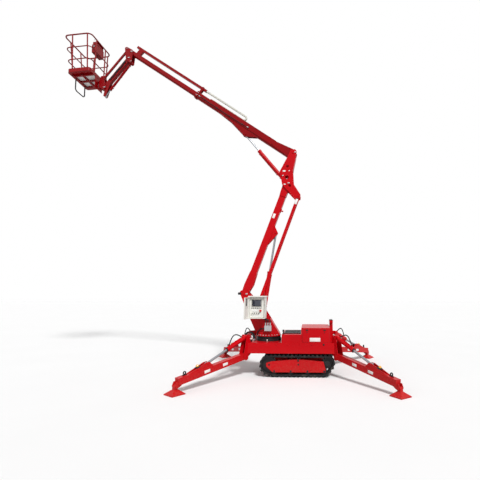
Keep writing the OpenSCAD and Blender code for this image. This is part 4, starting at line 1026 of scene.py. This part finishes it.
class LIFT_OT_leg_fittings(bpy.types.Operator):
    """Lamps and tie-down eyes of the outriggers"""

    bl_idname = "lift.leg_fittings"
    bl_label = "Outrigger Fittings"

    def execute(self, context):
        for tag in CORNERS:
            body = "outrigger_" + tag
            beam = sloped_leg(tag)
            seat = shifted(beam, LAMP_AT[0], 0, LAMP_AT[1]) @ Matrix.Rotation(LAMP_SLOPE, 4, "Y")
            with new_piece("lamp_seat_" + tag, "black_metal", body) as bm:
                add_box(bm, seat, mm(*LAMP_PLATE))
                add_disc(bm, seat, 0.032, LAMP_HOUSING / 1000)
            with new_piece("lamp_" + tag, "amber", body, "panel_plastic") as bm:
                add_dome(bm, shifted(seat, 0, 0, LAMP_HOUSING), 0.028, 0.030)
            width, height = EYE_FOOT[1:]
            ring = shifted(beam, EYE_AT, width / 2, BEAM_HALF + EYE_RISE) @ TURN_NEAR
            with new_piece("tie_eye_" + tag, "black_metal", body) as bm:
                add_block(bm, beam, (EYE_AT, 0, BEAM_HALF + height / 2), EYE_FOOT)
                add_ring(bm, ring, 0.014, 0.031, width / 1000)
        return {"FINISHED"}


# Boom fittings in millimetres: stops at the boom's foot, weld beads on the flange, peg
STOP_AT = (-70, 101, 6)
WELD_RUN = range(-740, -285, 15)
WELD_SIDE = 108
WELD_HEIGHT = 767
PEG_AT = (2060, 0, -90)
PEG_PLATE = (90, 60, 14)
# Jib hoses: heights, points along the arm, place across, clips and the sag between them
JIB_HOSES = (-20, 2)
JIB_RUN = range(110, 780, 25)
JIB_SIDE = -54
JIB_SAG = 14
JIB_SPAN = 300
JIB_CLIPS = (150, 450, 740)
JIB_CLIP = (26, 22, 46)


class LIFT_OT_boom_fittings(bpy.types.Operator):
    """Stops, weld beads, peg and the jib's hoses"""

    bl_idname = "lift.boom_fittings"
    bl_label = "Boom Fittings"

    def execute(self, context):
        x, y, z = STOP_AT
        with new_piece("boom_stops", "black_metal", "turret") as bm:
            for side in (-1, 1):
                stop = Matrix.Translation(point("lower_boom") + mm(x, side * y, z)) @ TURN_LEFT
                add_disc(bm, stop, 0.026, 0.070)
        with new_piece("tower_welds", "red_paint", "turret") as bm:
            for y in (-WELD_SIDE, WELD_SIDE):
                add_tube(bm, [machine(x, y, WELD_HEIGHT) for x in WELD_RUN], 0.004, 8)
        under = shifted(lower_frame(), *PEG_AT) @ TURN_UNDER
        with new_piece("boom_peg", "red_paint", "lower_boom") as bm:
            add_block(bm, under, (0, 0, PEG_PLATE[2] / 2), PEG_PLATE)
            add_disc(bm, under, 0.017, 0.060)
        arm = jib_frame()
        with new_piece("jib_hoses", "hose", "jib_arm", "track_rubber") as bm:
            for z in JIB_HOSES:
                route = []
                for x in JIB_RUN:
                    sag = JIB_SAG * math.sin(math.pi * (x - JIB_CLIPS[0]) / JIB_SPAN) ** 2
                    route.append(arm @ mm(x, JIB_SIDE, z + sag))
                add_tube(bm, route, 0.008)
        with new_piece("jib_clips", "black_metal", "jib_arm") as bm:
            for x in JIB_CLIPS:
                add_block(bm, arm, (x, JIB_SIDE - 2, sum(JIB_HOSES) / 2), JIB_CLIP)
        return {"FINISHED"}


# Hood in millimetres: middle of its side wall, the seam round its door, latches, locks and knob
HOOD_WALL = (508, 450, 790)
SEAM_WIDE = 546
SEAM_HIGH = 252
SEAM_LINE = (3, 1.2)
LATCHES = (-180, 180)
LATCH = (44, 20, 12)
LATCH_HEIGHT = 108
LOCK_HEIGHT = 60
KNOB_AT = (665, 480, 622)
# Dark disc on each track frame's outer face, filler neck on the deck, mark on the slewing ring
TRACK_DISC = (150, 440, 232)
FILLER_AT = (-850, -300, 650)
MARK_AT = (-513, -270.5, 674)
MARK = (16, 3, 44)


class LIFT_OT_hood_fittings(bpy.types.Operator):
    """Seams, latches and knob of the hood, filler cap and marks of the slewing ring and tracks"""

    bl_idname = "lift.hood_fittings"
    bl_label = "Hood Fittings"

    def execute(self, context):
        line, thick = SEAM_LINE
        with new_piece("hood_seams", "black_metal", "chassis") as bm:
            for side in (-1, 1):
                wall = flank(side, *HOOD_WALL)
                for edge in (-0.5, 0.5):
                    add_block(bm, wall, (0, edge * SEAM_HIGH, 0.3), (SEAM_WIDE, line, thick), 0.0002)
                    upright = (line, SEAM_HIGH + line, thick)
                    add_block(bm, wall, (edge * SEAM_WIDE, 0, 0.3), upright, 0.0002)
                for x in LATCHES:
                    add_block(bm, wall, (x, LATCH_HEIGHT, LATCH[2] / 2), LATCH)
                    add_disc(bm, shifted(wall, x, LOCK_HEIGHT, 0), 0.010, 0.004, 16, 0.001)
                add_dome(bm, flank(side, *KNOB_AT), 0.019, 0.020)
                add_disc(bm, flank(side, *TRACK_DISC), 0.017, 0.002, 20, 0.0005)
        neck = spot(*FILLER_AT)
        with new_piece("filler_neck", "black_metal", "chassis") as bm:
            add_disc(bm, neck, 0.024, 0.052)
        with new_piece("cream_marks", "cream_paint", "chassis") as bm:
            add_disc(bm, shifted(neck, 0, 0, 48), 0.031, 0.020)
            add_box(bm, spot(*MARK_AT), mm(*MARK))
        return {"FINISHED"}


# Basket in millimetres: edges of the floor panels, mat and the rows of its studs
PANEL_COLUMNS = ((-633, -452), (-408, -185))
PANEL_ROWS = ((-228, -22), (22, 228))
PANEL_HEIGHT = 288.5
MAT_AT = (-450, 0, 298)
MAT = (500, 730, 4)
STUD_COLUMNS = range(-677, -221, 35)
STUD_ROWS = range(-342, 343, 36)
STUD_FOOT = 299.5
# Console: hoops, anchor rings, top with its knobs, keys and stop button
HOOP_AT = -221
HOOP_SIDES = (-118, 118)
HOOP_RADIUS = 44
HOOP_FOOT = 1340
HOOP_BEND = 1384
HOOP_STEPS = 12
ANCHOR_AT = (-225, 164, 1180)
CONSOLE_TOP = 1345
CONSOLE_KNOBS = ((-219, -80), (-219, 0), (-219, 80))
CONSOLE_KEYS = tuple((-262, y) for y in range(-90, 91, 45))
CONSOLE_STOP = (-176, 106)


def hoop_outline():
    """Places along the basket and heights of a hoop from foot to foot."""
    angles = [math.pi * i / HOOP_STEPS for i in range(HOOP_STEPS + 1)]
    arc = [(HOOP_AT - HOOP_RADIUS * math.cos(a), HOOP_BEND + HOOP_RADIUS * math.sin(a)) for a in angles]
    return [(arc[0][0], HOOP_FOOT), *arc, (arc[-1][0], HOOP_FOOT)]


class LIFT_OT_basket_fittings(bpy.types.Operator):
    """Floor panels, mat, hoops and controls of the basket"""

    bl_idname = "lift.basket_fittings"
    bl_label = "Basket Fittings"

    def execute(self, context):
        place = basket_frame()
        with new_piece("floor_panels", "label", "basket", "panel_plastic") as bm:
            for x0, x1 in PANEL_COLUMNS:
                for y0, y1 in PANEL_ROWS:
                    middle = ((x0 + x1) / 2, (y0 + y1) / 2, PANEL_HEIGHT)
                    add_block(bm, place, middle, (x1 - x0, y1 - y0, 2), 0.0004)
        with new_piece("floor_mat", "track_rubber", "basket") as bm:
            add_block(bm, place, MAT_AT, MAT, 0.001)
            for x in STUD_COLUMNS:
                for y in STUD_ROWS:
                    add_disc(bm, shifted(place, x, y, STUD_FOOT), 0.008, 0.003, 8, 0.0006)
        with new_piece("console_hoops", "fitting_steel", "basket") as bm:
            for y in HOOP_SIDES:
                add_tube(bm, [place @ mm(x, y, z) for x, z in hoop_outline()], 0.006)
            x, y, z = ANCHOR_AT
            for side in (-1, 1):
                add_ring(bm, shifted(place, x, side * y, z) @ side_turn(side), 0.012, 0.020, 0.008)
        with new_piece("console_keys", "black_metal", "basket") as bm:
            for x, y in CONSOLE_KNOBS:
                add_dome(bm, shifted(place, x, y, CONSOLE_TOP), 0.022, 0.020)
            for x, y in CONSOLE_KEYS:
                add_disc(bm, shifted(place, x, y, CONSOLE_TOP), 0.008, 0.008, 16)
        with new_piece("console_stop", "knob_red", "basket", "red_paint") as bm:
            add_dome(bm, shifted(place, *CONSOLE_STOP, CONSOLE_TOP), 0.020, 0.022)
        return {"FINISHED"}


CAMERA_AT = (2.349, -7.906, 1.65)
CAMERA_PITCH = math.radians(90 + 12.68)
CAMERA_TURN = math.radians(1.8)
CAMERA_LENS = 25.9
CAMERA_SENSOR = 36.0
CAMERA_SHIFT = (-0.125, -0.052)
# Floor: half its side, drop under the pads, share of its tone that throws light up
FLOOR_HALF = 60.0
FLOOR_DROP = 0.001
FLOOR_BOUNCE = 0.55
WORLD_LIGHT = 0.34
# Suns: strength, angle across in degrees and direction of the light
KEY_SUN = (2.85, 10, (-0.38, 0.72, -0.80))
FILL_SUN = (0.5, 60, (0.6, 0.5, -0.4))


def seen_rays(tree):
    """1 for the rays that show a background: to the camera, in reflections and through glass."""
    rays = tree.nodes.new("ShaderNodeLightPath")
    seen = rays.outputs["Is Camera Ray"]
    for name in ("Is Glossy Ray", "Is Transmission Ray"):
        either = tree.nodes.new("ShaderNodeMath")
        either.operation = "MAXIMUM"
        tree.links.new(seen, either.inputs[0])
        tree.links.new(rays.outputs[name], either.inputs[1])
        seen = either.outputs["Value"]
    return seen


def floor_finish():
    """Pale floor that looks bright and throws less light up than it shows."""
    board = Board("pale_floor")
    tone = colours().floor
    plain = board.mottled(board.noise(0.6, 3.0), 0.3, 0.7, tone, 0.985, 1.0)
    seen = seen_rays(board.tree)
    board.set(Base_Color=board.mix(seen, shade(tone, FLOOR_BOUNCE), plain), Roughness=0.9)
    return board.material


def light_world():
    """White for the camera and in reflections, a plain soft light for the rest."""
    world = bpy.data.worlds.new("studio")
    bpy.context.scene.world = world
    world.use_nodes = True
    tree = world.node_tree
    background = tree.nodes["Background"]
    background.inputs["Color"].default_value = (1, 1, 1, 1)
    level = tree.nodes.new("ShaderNodeMapRange")
    level.inputs["To Min"].default_value = WORLD_LIGHT
    tree.links.new(seen_rays(tree), level.inputs["Value"])
    tree.links.new(level.outputs["Result"], background.inputs["Strength"])


def add_sun(name, strength, angle, toward):
    data = bpy.data.lights.new(name, "SUN")
    data.energy = strength
    data.angle = math.radians(angle)
    sun = add_object(name, data)
    sun.rotation_euler = Vector(toward).to_track_quat("-Z", "Y").to_euler()


class LIFT_OT_stage(bpy.types.Operator):
    """Pale floor, soft light and the camera"""

    bl_idname = "lift.stage"
    bl_label = "Stage"

    def execute(self, context):
        bm = bmesh.new()
        bmesh.ops.create_grid(bm, x_segments=1, y_segments=1, size=FLOOR_HALF)
        mesh = bpy.data.meshes.new("floor")
        bm.to_mesh(mesh)
        bm.free()
        floor = add_object("floor", mesh)
        floor.location.z = CAD_BOX[0].z - FLOOR_DROP
        floor.data.materials.append(floor_finish())
        light_world()
        add_sun("key_sun", *KEY_SUN)
        add_sun("fill_sun", *FILL_SUN)
        data = bpy.data.cameras.new("camera")
        data.sensor_width = CAMERA_SENSOR
        data.lens = CAMERA_LENS
        data.shift_x, data.shift_y = CAMERA_SHIFT
        camera = add_object("camera", data)
        camera.location = CAMERA_AT
        camera.rotation_euler = (CAMERA_PITCH, 0, CAMERA_TURN)
        context.scene.camera = camera
        context.scene.view_settings.view_transform = "Standard"
        return {"FINISHED"}


class LIFT_PT_panel(bpy.types.Panel):
    """Lists the machine's looks in the sidebar"""

    bl_label = "Boom Lift"
    bl_idname = "LIFT_PT_panel"
    bl_space_type = "VIEW_3D"
    bl_region_type = "UI"
    bl_category = "Boom Lift"

    def draw(self, context):
        layout = self.layout
        for group in (context.scene.lift_colours, context.scene.lift_sizes):
            for name in group.bl_rna.properties.keys():
                if name not in ("rna_type", "name"):
                    layout.prop(group, name)
        for operator in OPERATORS:
            layout.operator(operator.bl_idname)


OPERATORS = (
    LIFT_OT_stage,
    LIFT_OT_finishes,
    LIFT_OT_pin_caps,
    LIFT_OT_chain,
    LIFT_OT_labels,
    LIFT_OT_bolts,
    LIFT_OT_panel_parts,
    LIFT_OT_hoses,
    LIFT_OT_cylinders,
    LIFT_OT_leg_fittings,
    LIFT_OT_boom_fittings,
    LIFT_OT_hood_fittings,
    LIFT_OT_basket_fittings,
)
CLASSES = (LiftColours, LiftSizes, *OPERATORS, LIFT_PT_panel)


def register():
    for cls in CLASSES:
        bpy.utils.register_class(cls)
    bpy.types.Scene.lift_colours = PointerProperty(type=LiftColours)
    bpy.types.Scene.lift_sizes = PointerProperty(type=LiftSizes)


def unregister():
    del bpy.types.Scene.lift_sizes
    del bpy.types.Scene.lift_colours
    for cls in reversed(CLASSES):
        bpy.utils.unregister_class(cls)


def main():
    register()
    bpy.ops.lift.stage()
    bpy.ops.lift.finishes()
    bpy.ops.lift.pin_caps()
    bpy.ops.lift.chain()
    bpy.ops.lift.labels()
    bpy.ops.lift.bolts()
    bpy.ops.lift.panel_parts()
    bpy.ops.lift.hoses()
    bpy.ops.lift.cylinders()
    bpy.ops.lift.leg_fittings()
    bpy.ops.lift.boom_fittings()
    bpy.ops.lift.hood_fittings()
    bpy.ops.lift.basket_fittings()


if __name__ == "__main__":
    main()
